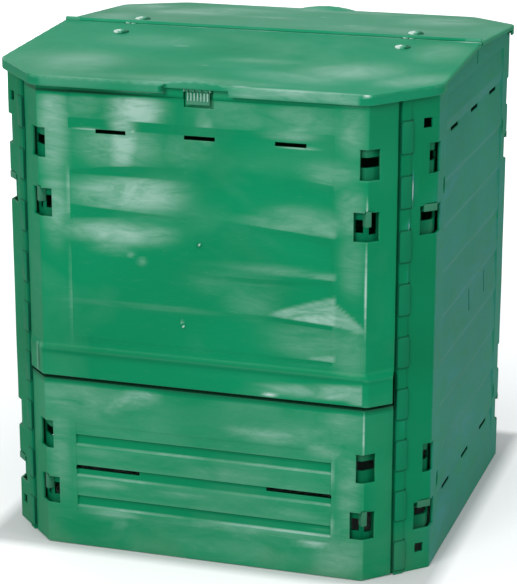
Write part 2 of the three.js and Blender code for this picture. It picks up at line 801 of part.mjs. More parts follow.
// The lid half's envelope, with its top, skirt and rim moved in by the given amounts.
function roofBlock(topInset, depth, rimInset) {
  const inner = lidInnerEdge;
  const outer = lidHalfDepth - rimInset;
  const profile = outline([
    point(-inner, roofTopAt(inner) - topInset), point(-outer, roofTopAt(outer) - topInset),
    point(-outer, roofTopAt(outer) - depth), point(-inner, roofTopAt(inner) - depth),
  ]);
  const across = lidHalfWidth - rimInset;
  const cut = lidCornerLeg - rimInset * (2 - Math.SQRT2);
  const round = lidCornerRound;
  const plan = roundedShape([
    { at: point(-across, overrun) }, { at: point(-across, -outer + cut), round },
    { at: point(-across + cut, -outer), round }, { at: point(across - cut, -outer), round },
    { at: point(across, -outer + cut), round }, { at: point(across, overrun) },
  ]);
  const slab = runAlongX(profile, -across - overrun, across + overrun);
  return slab.intersect(raised(plan, roofTopAt(outer) - depth - overrun, ridgeHeight + overrun));
}

// A round rod along X, given by its radius, its length and the place of its middle.
function rodAlongX(radius, length, x, y, z) {
  const rod = new THREE.CylinderGeometry(radius, radius, length, ringFacets).rotateZ(quarterTurn);
  return solidOf(rod.translate(x, y, z));
}

const clipPlaces = () => [-clipSpacing + clipOffset, clipSpacing + clipOffset];

function disc(x, y, radius, bottom, top, facets = headFacets) {
  const geometry = new THREE.CylinderGeometry(radius, radius, top - bottom, facets).rotateX(quarterTurn);
  return solidOf(geometry.translate(x, y, (top + bottom) / 2));
}

// The grip is a low arch along the eave, over a stretch where the skirt is cut short for the fingers.
function grip() {
  const eave = roofTopAt(lidHalfDepth);
  const arch = new THREE.Shape();
  arch.moveTo(-gripHalfWidth, eave - gripSkirt);
  arch.lineTo(gripHalfWidth, eave - gripSkirt);
  arch.lineTo(gripHalfWidth, eave);
  arch.quadraticCurveTo(0, eave + gripRise * 2, -gripHalfWidth, eave);
  arch.closePath();
  const lip = runAlongY(arch, -lidHalfDepth, -lidHalfDepth + lidThickness, ringFacets / 2);
  const slope = outline([
    point(-lidHalfDepth, eave - overrun), point(-lidHalfDepth + gripDepth, eave - overrun),
    point(-lidHalfDepth + gripDepth, roofTopAt(lidHalfDepth - gripDepth)),
    point(-lidHalfDepth, eave + gripRise),
  ]);
  const crown = runAlongX(slope, -gripHalfWidth, gripHalfWidth);
  const archLong = runAlongY(arch, -lidHalfDepth, -lidHalfDepth + gripDepth + overrun, ringFacets / 2);
  return lip.add(crown.intersect(archLong));
}

function skirtGripCut() {
  const eave = roofTopAt(lidHalfDepth);
  const inner = -lidHalfDepth + lidThickness + overrun / 2;
  return block(-gripHalfWidth, gripHalfWidth, -lidHalfDepth - overrun, inner,
    eave - skirtDepth - overrun, eave - gripSkirt);
}

// Two ears hang from the lid behind the grip and hold the latch's pin.
function latchEars() {
  const near = latchHalfWidth + earGap;
  const far = near + earThickness;
  const y0 = latchPinY - earMargin;
  const y1 = latchPinY + latchPinFromWall - seat;
  const bottom = latchPinZ - earMargin;
  const top = roofUnderAt(lidHalfDepth) + overrun;
  const ears = [-1, 1].map((side) => block(
    Math.min(side * near, side * far), Math.max(side * near, side * far), y0, y1, bottom, top));
  return [...ears, rodAlongX(latchPinRadius, near + far, 0, latchPinY, latchPinZ)];
}

// Low ribs stiffen the underside.
function lidRibs() {
  const half = lidHalfWidth - lidThickness - lidRibEndInset;
  return lidRibShares.map((share) => {
    const y = -share * (lidHalfDepth - lidCornerLeg);
    const under = roofUnderAt(-y);
    return block(-half, half, y - lidRibThickness, y, under - lidRibHeight, under + overrun);
  });
}

// Ridge bar: a round rod between the side walls, with thicker ends and a saddle tongue at each end.
function ridgeBar() {
  const end = lidHalfWidth - barEndRecess;
  const solids = [rodAlongX(barRadius, 2 * end - barEndLength, 0, 0, barAxisHeight)];
  for (const side of [-1, 1]) {
    solids.push(rodAlongX(barEndRadius, barEndLength, side * (end - barEndLength / 2), 0, barAxisHeight));
    const outer = side * (halfWidth - wall / 2 + saddleThickness / 2);
    const inner = outer - side * saddleThickness;
    solids.push(block(Math.min(outer, inner), Math.max(outer, inner), -saddleWidth / 2, saddleWidth / 2,
      barAxisHeight - barRadius - saddleLength, barAxisHeight));
  }
  return joined(solids);
}

// Hinge clip: a hook round the ridge bar, an arm under the lid and a round dished head on top of it.
function hingeClip(x) {
  const inner = barRadius + seat;
  const outer = inner + clipWrap;
  const end = clipHookEndAngle * Math.PI / 180;
  const hook = new THREE.Shape();
  hook.absarc(0, 0, outer, Math.PI, 2 * Math.PI + end, false);
  hook.absarc(0, 0, inner, 2 * Math.PI + end, Math.PI, true);
  hook.closePath();
  const hookSolid = runAlongX(hook, x - clipWidth / 2, x + clipWidth / 2, ringFacets / 2);
  const under = (y) => roofUnderAt(-y) - seat;
  const near = -inner + overrun;
  const far = -clipReach - clipTail;
  const arm = outline([
    point(far, under(far) - clipArm), point(near, under(near) - clipArm),
    point(near, under(near)), point(far, under(far)),
  ]);
  const armSolid = runAlongX(arm, x - clipWidth / 2, x + clipWidth / 2);
  const top = roofTopAt(clipReach) - clipDishDepth;
  const proud = clipDishDepth + clipHeadProud;
  const rimInner = clipHeadRadius - clipHeadRim - clipHeadDish;
  const head = new THREE.LatheGeometry([
    point(0, seat), point(clipHeadRadius, seat), point(clipHeadRadius, proud - clipHeadDish),
    point(clipHeadRadius - clipHeadDish, proud), point(rimInner, proud),
    point(rimInner - clipHeadDish, proud - clipHeadDish), point(0, proud - clipHeadDish),
  ], headFacets).rotateX(quarterTurn).translate(x, -clipReach, top);
  const shankBottom = under(-clipReach) - clipArm / 2;
  const shank = disc(x, -clipReach, clipShankRadius, shankBottom, top + seat * 2, ringFacets);
  return joined([moved(hookSolid, barAxisHeight), armSolid, solidOf(head), shank]);
}

function moved(solid, height) {
  return solidOf(geometryOf(solid).translate(0, 0, height));
}

// Latch: four open eyes that snap on the pin, a plate that hangs in the pocket and a nose at its foot.
function latch() {
  const inner = latchPinRadius + seat;
  const outer = inner + latchEyeWall;
  const plateOuter = latchPinY + latchPlateInset;
  const plateInner = plateOuter + latchPlate;
  const plateTop = latchPinZ - inner;
  const noseBottom = latchBottom + noseRise;
  const plate = block(-latchHalfWidth, latchHalfWidth, plateOuter, plateInner, latchBottom, plateTop);
  const nose = outline([
    point(plateInner - overrun, noseBottom), point(plateInner + noseDepth, noseBottom + noseHeight),
    point(plateInner - overrun, noseBottom + noseHeight),
  ]);
  const solids = [plate, runAlongX(nose, -latchHalfWidth, latchHalfWidth)];
  for (const share of latchEyeShares) {
    const x = share * latchHalfWidth;
    const eye = rodAlongX(outer, latchEyeWidth, x, latchPinY, latchPinZ);
    const bore = rodAlongX(inner, latchEyeWidth + overrun, x, latchPinY, latchPinZ);
    const snap = block(x - latchEyeWidth, x + latchEyeWidth, latchPinY, latchPinY + outer + overrun,
      latchPinZ - latchSnapWidth / 2, latchPinZ + latchSnapWidth / 2);
    solids.push(cutBy(eye, [bore, snap]));
  }
  return joined(solids).subtract(rodAlongX(inner, 2 * (latchHalfWidth + overrun), 0, latchPinY, latchPinZ));
}

// Finishes: recycled green plastic, a little darker on the side walls and the inner pieces

const finishes = {
  panel: { color: 0x1f8f63, roughness: 0.38, metalness: 0 },
  side: { color: 0x2a7f62, roughness: 0.42, metalness: 0 },
  lid: { color: 0x3f9c75, roughness: 0.34, metalness: 0 },
  fitting: { color: 0x1b7d55, roughness: 0.4, metalness: 0 },
};

const bin = new THREE.Group();

function place(name, solid, finish, turn = 0) {
  const mesh = new THREE.Mesh(geometryOf(solid), new THREE.MeshStandardMaterial(finishes[finish]));
  mesh.name = name;
  mesh.rotation.z = turn;
  bin.add(mesh);
}

const ends = [['front', 0], ['rear', Math.PI]];
const corners = [
  ['front_right', 0, endWall, sideWall], ['rear_right', 1, sideWall, endWall],
  ['rear_left', 2, endWall, sideWall], ['front_left', 3, sideWall, endWall],
];
const sides = [['right', quarterTurn], ['left', -quarterTurn]];

const upperPanelSolid = upperPanel();
const flapSolid = removalFlap();
const lidSolid = lidHalf();
const latchSolid = latch();
const sideWallSolid = fullWall();

for (const [end, turn] of ends) {
  place(`${end}_upper_panel`, upperPanelSolid, 'panel', turn);
  place(`${end}_removal_flap`, flapSolid, 'panel', turn);
  place(`${end}_lid_half`, lidSolid, 'lid', turn);
  place(`${end}_lid_latch`, latchSolid, 'fitting', turn);
  for (const x of clipPlaces()) {
    const hand = (x < 0) === (turn === 0) ? 'left' : 'right';
    place(`${end}_${hand}_hinge_clip`, hingeClip(x), 'lid', turn);
  }
}
for (const [hand, turn] of sides) place(`${hand}_side_wall`, sideWallSolid, 'side', turn);
for (const level of hookLevels) {
  for (const [corner, quarter, along, neighbour] of corners) {
    const bracket = cornerBracket(level, along, neighbour);
    place(`${corner}_${level.name}_bracket`, bracket, 'fitting', quarter * quarterTurn);
  }
}
place('ridge_bar', ridgeBar(), 'lid');

export default bin;
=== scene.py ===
# %% [markdown]
# # A square compost bin in green plastic
# The bin is put together from moulded panels: two tall side walls, an upper panel and a removal flap at
# each end, eight corner brackets inside, and a two-part roof lid on a ridge bar. The measured model is
# loaded first. It says where each piece goes and how it moves, and every finished surface is made to it.

# %% Load the measured model
import math
import bmesh
import bpy
import numpy as np
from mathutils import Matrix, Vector


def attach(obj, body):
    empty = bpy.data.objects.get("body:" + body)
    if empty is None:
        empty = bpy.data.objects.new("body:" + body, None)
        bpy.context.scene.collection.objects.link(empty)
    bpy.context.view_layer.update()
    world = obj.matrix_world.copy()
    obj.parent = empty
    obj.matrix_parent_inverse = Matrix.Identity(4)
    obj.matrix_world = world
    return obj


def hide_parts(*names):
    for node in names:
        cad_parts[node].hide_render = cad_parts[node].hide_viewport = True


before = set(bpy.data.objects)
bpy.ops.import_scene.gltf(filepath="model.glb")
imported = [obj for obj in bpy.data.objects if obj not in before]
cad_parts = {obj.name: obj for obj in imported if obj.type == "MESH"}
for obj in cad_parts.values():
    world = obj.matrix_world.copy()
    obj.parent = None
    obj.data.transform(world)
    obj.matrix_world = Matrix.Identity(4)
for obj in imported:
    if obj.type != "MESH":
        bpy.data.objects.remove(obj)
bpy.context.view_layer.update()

print("nodes:", ", ".join(sorted(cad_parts)))

# %% [markdown]
# Every wall of the bin follows the same few rules, so their sizes are written down once. They are in
# millimetres, like a workshop drawing, and each mesh is turned into metres when it is made. Heights count
# from the ground. A place along a wall counts from its middle, round the bend and on along the corner
# flange, as if the wall were rolled out flat, and a depth counts inwards from the wall's face.

# %% Sizes of the bin
METRES = 0.001
BODY_HALF = 361
CORNER_LEG = 90
FLANGE_HALF = CORNER_LEG / math.sqrt(2)
BEND = BODY_HALF - CORNER_LEG
BEND_TANGENT = 3
WALL = 5
FIELD_HALF = 219
SEAM_HEIGHT = 299
RIDGE_HEIGHT = 820
LID_HALF_WIDTH = 367.8
LID_HALF_DEPTH = 373.4
ROOF_SLOPE = 23.4 / LID_HALF_DEPTH
LID_THICKNESS = 4
SEAT = 0.3
LOWER_HOOK = 71
QUARTER = math.pi / 2


def roof_height(distance):
    """Height of the roof's top at a distance from the ridge."""
    return RIDGE_HEIGHT - ROOF_SLOPE * distance


EAVE_TOP = roof_height(BODY_HALF) - LID_THICKNESS - SEAT
UPPER_HOOK = EAVE_TOP - 228
FIELD_TOP = EAVE_TOP - 20
FIRST_LAP = FIELD_TOP - 42
BOARD_TOP = FIRST_LAP - 18
print(f"eave {EAVE_TOP:.1f} mm, first lap {FIRST_LAP:.1f} mm, upper hooks {UPPER_HOOK:.1f} mm")

# %% [markdown]
# The photograph was taken from the front, a little to the right and from above, with a long lens. The
# camera goes in first, because every later choice is judged through it.

# %% Camera
camera_data = bpy.data.cameras.new("camera")
camera = bpy.data.objects.new("camera", camera_data)
bpy.context.scene.collection.objects.link(camera)
camera_data.lens = 133.6
camera_data.sensor_width = 36
camera_data.sensor_fit = "AUTO"
camera_data.clip_end = 100
camera.location = (1.08453, -3.46359, 1.45182)
look = Vector((-0.29024, 0.91243, -0.28850))
camera.rotation_euler = look.to_track_quat("-Z", "Y").to_euler()
bpy.context.scene.camera = camera
print(f"camera {camera.location.length:.2f} m from the bin, lens {camera_data.lens} mm")

# %% [markdown]
# Finishes, the floor and the world are all written as nodes. Small helpers make a node, fill in its
# inputs with numbers, colours or other nodes' outputs, blend two shaders, and do arithmetic.

# %% Helpers for shader nodes
def new_material(name):
    material = bpy.data.materials.new(name)
    material.use_nodes = True
    material.node_tree.nodes.clear()
    return material


def fill(tree, socket, value):
    """Joins a socket to another one, or gives it a plain value."""
    if isinstance(value, bpy.types.NodeSocket):
        tree.links.new(value, socket)
    else:
        socket.default_value = value


def add_node(tree, kind, settings=None, **inputs):
    """A node with its settings and its inputs filled in. An input may be a number, a colour or a socket."""
    node = tree.nodes.new(kind)
    for key, value in (settings or {}).items():
        setattr(node, key, value)
    for key, value in inputs.items():
        fill(tree, node.inputs[key.replace("_", " ")], value)
    return node


def blend_shaders(tree, factor, first, second):
    node = add_node(tree, "ShaderNodeMixShader", Fac=factor)
    tree.links.new(first.outputs[0], node.inputs[1])
    tree.links.new(second.outputs[0], node.inputs[2])
    return node


def calculate(tree, operation, *values):
    node = tree.nodes.new("ShaderNodeMath")
    node.operation = operation
    for socket, value in zip(node.inputs, values):
        fill(tree, socket, value)
    return node.outputs[0]

# %% [markdown]
# The floor is pale and wide. For the camera alone it also glows: not under the bin, a little from the
# bin's edge on, and more with distance, so that the shadow stays soft and the far floor turns white.

# %% Floor
FLOOR_SIZE = 60
BIN_EDGE, BIN_EDGE_END = 0.37, 0.4
FAR_START, FAR_END = 0.5, 3.0


def plane(name, size):
    mesh = bpy.data.meshes.new(name)
    half = size / 2
    corners = [(-half, -half, 0), (half, -half, 0), (half, half, 0), (-half, half, 0)]
    mesh.from_pydata(corners, [], [(0, 1, 2, 3)])
    thing = bpy.data.objects.new(name, mesh)
    bpy.context.scene.collection.objects.link(thing)
    return thing


floor = plane("floor", FLOOR_SIZE)
floor_finish = new_material("pale_floor")
tree = floor_finish.node_tree
rays = add_node(tree, "ShaderNodeLightPath")
spot = add_node(tree, "ShaderNodeSeparateXYZ", Vector=add_node(tree, "ShaderNodeTexCoord").outputs["Object"])
across = calculate(tree, "ABSOLUTE", spot.outputs["X"])
along = calculate(tree, "ABSOLUTE", spot.outputs["Y"])
from_bin = calculate(tree, "MAXIMUM", across, along)
near = add_node(tree, "ShaderNodeMapRange", Value=from_bin, From_Min=BIN_EDGE, From_Max=BIN_EDGE_END,
                To_Max=0.42)
far = add_node(tree, "ShaderNodeMapRange", Value=from_bin, From_Min=FAR_START, From_Max=FAR_END, To_Max=0.5)
faded = calculate(tree, "ADD", near.outputs[0], far.outputs[0])
glow = calculate(tree, "MULTIPLY", faded, rays.outputs["Is Camera Ray"])
floor_light = add_node(tree, "ShaderNodeBsdfDiffuse", Color=(0.72, 0.73, 0.73, 1))
floor_glow = add_node(tree, "ShaderNodeEmission", Color=(1, 1, 1, 1), Strength=glow)
floor_sum = add_node(tree, "ShaderNodeAddShader")
tree.links.new(floor_light.outputs[0], floor_sum.inputs[0])
tree.links.new(floor_glow.outputs[0], floor_sum.inputs[1])
floor_out = add_node(tree, "ShaderNodeOutputMaterial")
tree.links.new(floor_sum.outputs[0], floor_out.inputs[0])
floor.data.materials.append(floor_finish)
print("nodes of the floor's finish:", len(tree.nodes))

# %% [markdown]
# A studio for plastic needs wide, soft lamps, because a glossy green panel shows the lamp itself as a
# cloudy patch. One large softbox stands high on the left, a weaker one on the right, a broad one hangs
# above the lid, and one lights the rear. The world gives an even fill and stays white to the camera.

# %% Lamps and world
def softbox(name, place, target, width, height, watts):
    data = bpy.data.lights.new(name, "AREA")
    data.shape = "RECTANGLE"
    data.size = width
    data.size_y = height
    data.energy = watts
    lamp = bpy.data.objects.new(name, data)
    lamp.location = place
    lamp.rotation_euler = (Vector(target) - Vector(place)).to_track_quat("-Z", "Y").to_euler()
    bpy.context.scene.collection.objects.link(lamp)
    return lamp


softbox("key", (-0.7, -4.1, 2.6), (0, 0, 0.45), 2.2, 1.8, 104)
softbox("fill", (3.8, -0.8, 1.7), (0.2, 0, 0.4), 1.4, 2.2, 38)
softbox("top", (0.2, -0.3, 3.4), (0, 0, 0.7), 2.4, 1.6, 34)
softbox("rear", (-3.4, 3.0, 1.6), (0, 0, 0.5), 2.2, 2.0, 60)

world = bpy.data.worlds.new("studio")
bpy.context.scene.world = world
world.use_nodes = True
tree = world.node_tree
tree.nodes.clear()
rays = add_node(tree, "ShaderNodeLightPath")
dim = add_node(tree, "ShaderNodeBackground", Color=(0.93, 0.96, 1, 1), Strength=0.36)
mirrored = add_node(tree, "ShaderNodeBackground", Color=(1, 1, 1, 1), Strength=0.5)
bright = add_node(tree, "ShaderNodeBackground", Color=(1, 1, 1, 1), Strength=1)
reflected = blend_shaders(tree, rays.outputs["Is Glossy Ray"], dim, mirrored)
seen = blend_shaders(tree, rays.outputs["Is Camera Ray"], reflected, bright)
world_out = add_node(tree, "ShaderNodeOutputWorld")
tree.links.new(seen.outputs[0], world_out.inputs[0])
bpy.context.scene.view_settings.view_transform = "Standard"

# %% [markdown]
# Recycled polypropylene is never one flat green. The skin has a fine orange-peel texture, handling leaves
# thin scratches and scuffs, and dust settles near the ground. On the glossy mouldings the soft lamps also
# show as cloudy pale reflections with brushed edges, and these are painted in as a pale haze. All of that
# is made from noise by functions that the finishes share, and each group of pieces has its own colours and
# its own amount of each mark. Where the painted haze of a big moulding is palest is written into its mesh
# as a point attribute, and the noise only breaks up its edges. Where the attribute is below zero the
# plastic is painted darker, as painted shade in corners and in gaps that no light reaches, and above one
# it turns near white, as painted highlights on edges and as rubbed spots.

# %% Nodes that the finish is drawn with
def ramp(tree, fac, stops):
    """Grey levels at places between zero and one."""
    node = add_node(tree, "ShaderNodeValToRGB", Fac=fac)
    elements = node.color_ramp.elements
    while len(elements) < len(stops):
        elements.new(0.5)
    for element, (place, value) in zip(elements, stops):
        element.position = place
        element.color = (value, value, value, 1)
    return node.outputs["Color"]


def blend_colors(tree, factor, first, second):
    node = tree.nodes.new("ShaderNodeMix")
    node.data_type = "RGBA"
    for name, value in (("Factor_Float", factor), ("A_Color", first), ("B_Color", second)):
        fill(tree, next(s for s in node.inputs if s.identifier == name), value)
    return next(s for s in node.outputs if s.identifier == "Result_Color")


def noise(tree, coordinates, scale, stretch=(1, 1, 1), turn=0.0, detail=4, roughness=0.55, distortion=0.0,
          shift=0.0):
    """A noise between zero and one. A stretch above one along an axis makes its marks shorter there."""
    mapping = add_node(tree, "ShaderNodeMapping", Vector=coordinates, Scale=stretch, Rotation=(turn, turn, 0),
                       Location=(shift, shift, 0))
    texture = add_node(tree, "ShaderNodeTexNoise", Vector=mapping.outputs[0], Scale=scale, Detail=detail,
                       Roughness=roughness, Distortion=distortion)
    return texture.outputs["Fac"]

# %% Marks that come from noise
FAINT_STROKE, STRONG_STROKE = 0.3, 1.35


def noise_marks(tree, place, shift):
    """Darker tone, brush strokes, specks, patches and scuffs, and the clouds and wisps of the painted haze.
    """
    deeper = noise(tree, place, 3.1, (1, 1, 1.3), 0, 2, 0.5, 0.4, shift + 7)
    clouds = noise(tree, place, 4.2, (1, 1, 1.5), 0, 3, 0.5, 0.8, shift)
    strokes = noise(tree, place, 11, (1, 1, 3.2), 0.5, 6, 0.62, 1.1, shift + 3)
    wisps = noise(tree, place, 26, (1, 1, 6), 0.35, 7, 0.68, 1.4, shift + 9)
    specks = noise(tree, place, 300, detail=3, roughness=0.6, shift=shift)
    scratches = noise(tree, place, 34, (1, 1, 11), 0.25, 8, 0.74, 1.8, shift + 5)
    fields = noise(tree, place, 7.5, detail=2, roughness=0.5, shift=shift + 11)
    patches = ramp(tree, fields, [(0.47, 0), (0.64, 1)])
    return {
        "deeper": ramp(tree, deeper, [(0.4, 0), (0.7, 1)]),
        "clouds": ramp(tree, clouds, [(0.48, 0), (0.78, 1)]),
        "brushed": ramp(tree, strokes, [(0.3, FAINT_STROKE), (0.7, STRONG_STROKE)]),
        "wisps": ramp(tree, wisps, [(0.56, 0), (0.72, 1)]),
        "specks": ramp(tree, specks, [(0.35, 0), (0.7, 1)]),
        "patches": patches,
        "scuffs": calculate(tree, "MULTIPLY", ramp(tree, scratches, [(0.63, 0), (0.7, 1)]), patches),
    }

# %% Painted haze, painted shade, and painted highlights and rubs
WISP_SHARE, WISP_BASE = 0.35, 0.1
SHADE_CLEARS = 5.0


def written_marks(tree, marks, cloud):
    """How much painted haze, painted shade and near white the plastic gets, from the values in the mesh."""
    written = add_node(tree, "ShaderNodeAttribute", {"attribute_name": "bloom"}).outputs["Fac"]
    bloom = calculate(tree, "MAXIMUM", written, 0.0)
    # Below zero the written values are painted shade, above one painted highlights and rubbed spots.
    shade = calculate(tree, "MAXIMUM", calculate(tree, "MULTIPLY", written, -1.0), 0.0)
    gleam = calculate(tree, "MAXIMUM", calculate(tree, "SUBTRACT", written, 1.0), 0.0)
    brushed_paleness = calculate(tree, "MULTIPLY", bloom, marks["brushed"])
    wispy = calculate(tree, "MULTIPLY", calculate(tree, "ADD", bloom, WISP_BASE), marks["wisps"])
    # The noise clouds and wisps add painted haze, also where no value is written.
    cloudy = calculate(tree, "MULTIPLY", marks["clouds"], cloud)
    soft = calculate(tree, "ADD", cloudy, calculate(tree, "MULTIPLY", wispy, WISP_SHARE))
    clear = calculate(tree, "SUBTRACT", 1.0, calculate(tree, "MULTIPLY", shade, SHADE_CLEARS))
    paleness = calculate(tree, "MULTIPLY", calculate(tree, "ADD", brushed_paleness, soft),
                         calculate(tree, "MAXIMUM", clear, 0.0))
    return calculate(tree, "MINIMUM", paleness, 1.0), shade, calculate(tree, "MINIMUM", gleam, 1.0)


print(f"a wisp is {WISP_SHARE} as strong as a cloud of bloom")

# %% Unevenness of the skin
SWELL, SWELL_DISTANCE = 0.45, 0.0014
ORANGE_PEEL, SCRATCH_DEPTH = 0.25, 0.25
FINE_DISTANCE = 0.0003


def skin_normal(tree, place, scuffs, shift):
    """The skin's normal, with a broad swell, the orange peel and the scratches."""
    swell = noise(tree, place, 11, (1, 1, 1.4), 0, 2, 0.5, 0.4, shift + 2)
    grain = noise(tree, place, 700, detail=3, roughness=0.5, shift=shift)
    broad = add_node(tree, "ShaderNodeBump", Height=swell, Strength=SWELL, Distance=SWELL_DISTANCE)
    fine = add_node(tree, "ShaderNodeBump", Height=grain, Strength=ORANGE_PEEL, Distance=FINE_DISTANCE,
                    Normal=broad.outputs[0])
    scratched = add_node(tree, "ShaderNodeBump", Height=scuffs, Strength=SCRATCH_DEPTH,
                         Distance=FINE_DISTANCE, Normal=fine.outputs[0])
    return scratched.outputs[0]


print(f"the swell is drawn as if it were {1000 * SWELL_DISTANCE:.1f} mm high")

# %% The moulded plastic finish
DUST = (0.2, 0.27, 0.19, 1)
# DARK is the colour that painted shade turns the plastic towards.
DARK = (0, 0.012, 0.006, 1)
# The near white is for painted highlights and for rubbed spots.
HIGHLIGHT_AND_RUB_WHITE = (0.72, 0.85, 0.79, 1)
DUST_HEIGHT, DUST_SHARE, DUST_ROUGH = 0.09, 0.22, 0.15
SPECK_SHARE, EDGE_SHARE = 0.08, 0.35
STROKE_ROUGH, SCUFF_ROUGH = 0.12, 0.2
REFRACTION = 1.49


def plastic(name, deep, base, pale, cloud=0.12, scuff=0.4, gloss=0.34, level=0.1, shift=0.0):
    """The green plastic. The shift moves its noises, so that two finishes never show the same marks."""
    material = new_material(name)
    tree = material.node_tree
    place = add_node(tree, "ShaderNodeTexCoord").outputs["Object"]
    marks = noise_marks(tree, place, shift)
    paleness, shade, gleam = written_marks(tree, marks, cloud)
    # Sharp edges turn pale, partly as wear and partly as a painted highlight.
    edge = add_node(tree, "ShaderNodeNewGeometry").outputs["Pointiness"]
    edge_wear_and_highlight = ramp(tree, edge, [(0.53, 0), (0.62, 1)])
    height = add_node(tree, "ShaderNodeSeparateXYZ", Vector=place).outputs["Z"]
    low = add_node(tree, "ShaderNodeMapRange", Value=height, From_Min=0.0, From_Max=DUST_HEIGHT,
                   To_Min=1.0, To_Max=0.0)
    dust = calculate(tree, "MULTIPLY", low.outputs[0], marks["patches"])
    color = blend_colors(tree, marks["deeper"], base, deep)
    # Specks, scuffs and dust are the plastic's own; the paleness is painted haze and the shade is painted
    # shade.
    for amount, tint in (
        (calculate(tree, "MULTIPLY", marks["specks"], SPECK_SHARE), deep), (paleness, pale),
        (calculate(tree, "MULTIPLY", marks["scuffs"], scuff), pale),
        (calculate(tree, "MULTIPLY", edge_wear_and_highlight, EDGE_SHARE), pale),
        (calculate(tree, "MULTIPLY", dust, DUST_SHARE), DUST), (shade, DARK), (gleam, HIGHLIGHT_AND_RUB_WHITE),
    ):
        color = blend_colors(tree, amount, color, tint)
    rough = add_node(tree, "ShaderNodeMapRange", Value=marks["brushed"], From_Max=STRONG_STROKE,
                     To_Min=gloss, To_Max=gloss + STROKE_ROUGH).outputs[0]
    rough = calculate(tree, "ADD", rough, calculate(tree, "MULTIPLY", marks["scuffs"], SCUFF_ROUGH))
    rough = calculate(tree, "ADD", rough, calculate(tree, "MULTIPLY", dust, DUST_ROUGH))
    shader = add_node(tree, "ShaderNodeBsdfPrincipled", Base_Color=color, Roughness=rough,
                      Normal=skin_normal(tree, place, marks["scuffs"], shift), IOR=REFRACTION,
                      Specular_IOR_Level=level)
    output = add_node(tree, "ShaderNodeOutputMaterial")
    tree.links.new(shader.outputs[0], output.inputs[0])
    return material

# %% [markdown]
# The mouldings are given four greens. The side walls are a little darker than the panels, as painted shade,
# and carry a bluer painted haze; the lid is the palest, a lighter green with a stronger painted haze, as
# painted sheen; and the fittings are the darkest, a green darkened as painted shade, because most of them
# sit behind the windows. Seen side by side that small spread tells the pieces apart.

# %% Four greens
PALE = (0.3, 0.52, 0.42, 1)
BLUE_PALE = (0.055, 0.265, 0.28, 1)
panel_green = plastic("panel_green", (0.0, 0.225, 0.09, 1), (0.0, 0.262, 0.109, 1), PALE)
side_green = plastic("side_green", (0.0, 0.19, 0.075, 1), (0.0, 0.225, 0.092, 1), BLUE_PALE,
                     cloud=0.08, scuff=0.25, gloss=0.42, level=0.08, shift=20)
lid_green = plastic("lid_green", (0.0, 0.235, 0.1, 1), (0.006, 0.275, 0.13, 1), PALE,
                    cloud=0.16, gloss=0.36, shift=40)
fitting_green = plastic("fitting_green", (0.0, 0.15, 0.06, 1), (0.0, 0.2, 0.085, 1), PALE,
                        cloud=0.1, scuff=0.3, level=0.05, shift=60)
print("finishes:", [material.name for material in bpy.data.materials])
print("nodes of a finish:", len(panel_green.node_tree.nodes))

# %% [markdown]
# A wall is one sheet of plastic, five millimetres thick, with flat boards that lap each other, windows,
# vents and bends. Cutting boxes out of a box would leave edges as sharp as paper. Here the sheet is a
# net of columns and rows instead. A relief function says how deep the face lies at each crossing, the
# meshes of the net inside a window are left out, and beside every rim the face rolls back by about a
# millimetre, as a moulded edge does. The back follows one wall thickness behind. Little light reaches
# into a slot, so the rims are painted darker towards the inside, as painted shade, and those of vents
# and slits are painted dark throughout.

# %% From a rolled-out place to a place in the bin
def ease(value, start, end):
    """Zero before start, one after end, and a soft curve between them."""
    share = np.clip((value - start) / (end - start), 0, 1)
    return share * share * (3 - 2 * share)


def wall_points(place, depth, height):
    """Points of a wall whose face looks towards the front, with its round bends."""
    radius = BEND_TANGENT / math.tan(math.pi / 8)
    size = np.abs(place)
    centre = BEND - BEND_TANGENT
    angle = np.clip((size - centre) / (2 * BEND_TANGENT), 0, 1) * math.pi / 4
    flange = np.maximum(size - BEND - BEND_TANGENT, 0)
    x = np.minimum(size, centre) + (radius - depth) * np.sin(angle) + flange * np.cos(angle)
    y = radius - BODY_HALF - (radius - depth) * np.cos(angle) + flange * np.sin(angle)
    return np.stack([np.sign(place) * x, y, height + 0 * x], axis=-1)


print("corner at the end of a flange:", wall_points(np.array([BEND + 50.0]), 0, 0).round(1).tolist())

# %% Columns and rows of a net, and the rims of its holes
RIM_ROUND = 1.2
RIM_STEPS = (0, 0.35, 1.2)


def net_lines(start, end, pitch, holes, edges):
    """Places from start to end at a steady pitch, with extra ones at edges and just outside of holes."""
    near = list(edges) + [low - step for low, _ in holes for step in RIM_STEPS]
    near += [high + step for _, high in holes for step in RIM_STEPS]
    near += [start + step for step in RIM_STEPS] + [end - step for step in RIM_STEPS]
    near = [place for place in near if start <= place <= end]
    steady = np.linspace(start, end, int((end - start) / pitch) + 1)
    kept = [place for place in steady if min(abs(place - other) for other in near) > pitch * 0.3]
    return np.unique(np.round(np.array(near + kept), 3))


def hole_gap(place, height, hole):
    """Distance to a hole's rim from outside."""
    x0, x1, z0, z1 = hole
    across = np.maximum(np.maximum(x0 - place, place - x1), 0)
    along = np.maximum(np.maximum(z0 - height, height - z1), 0)
    return np.hypot(across, along)


def rim_roll(place, height, holes, limits):
    """How far the face rolls back because a rim is near."""
    left, right, bottom, top = limits
    distance = np.minimum(np.minimum(place - left, right - place), np.minimum(height - bottom, top - height))
    for hole in holes:
        distance = np.minimum(distance, hole_gap(place, height, hole))
    gap = np.clip(RIM_ROUND - np.maximum(distance, 0), 0, RIM_ROUND)
    return RIM_ROUND - np.sqrt(RIM_ROUND * RIM_ROUND - gap * gap)


print(f"lines of a strip 40 mm wide: {len(net_lines(0, 40, 5, [], []))}")

# %% [markdown]
# A sheet is closed: every mesh of the net has a face in front and one behind, and wherever a mesh has no
# neighbour, a narrow face joins the two.

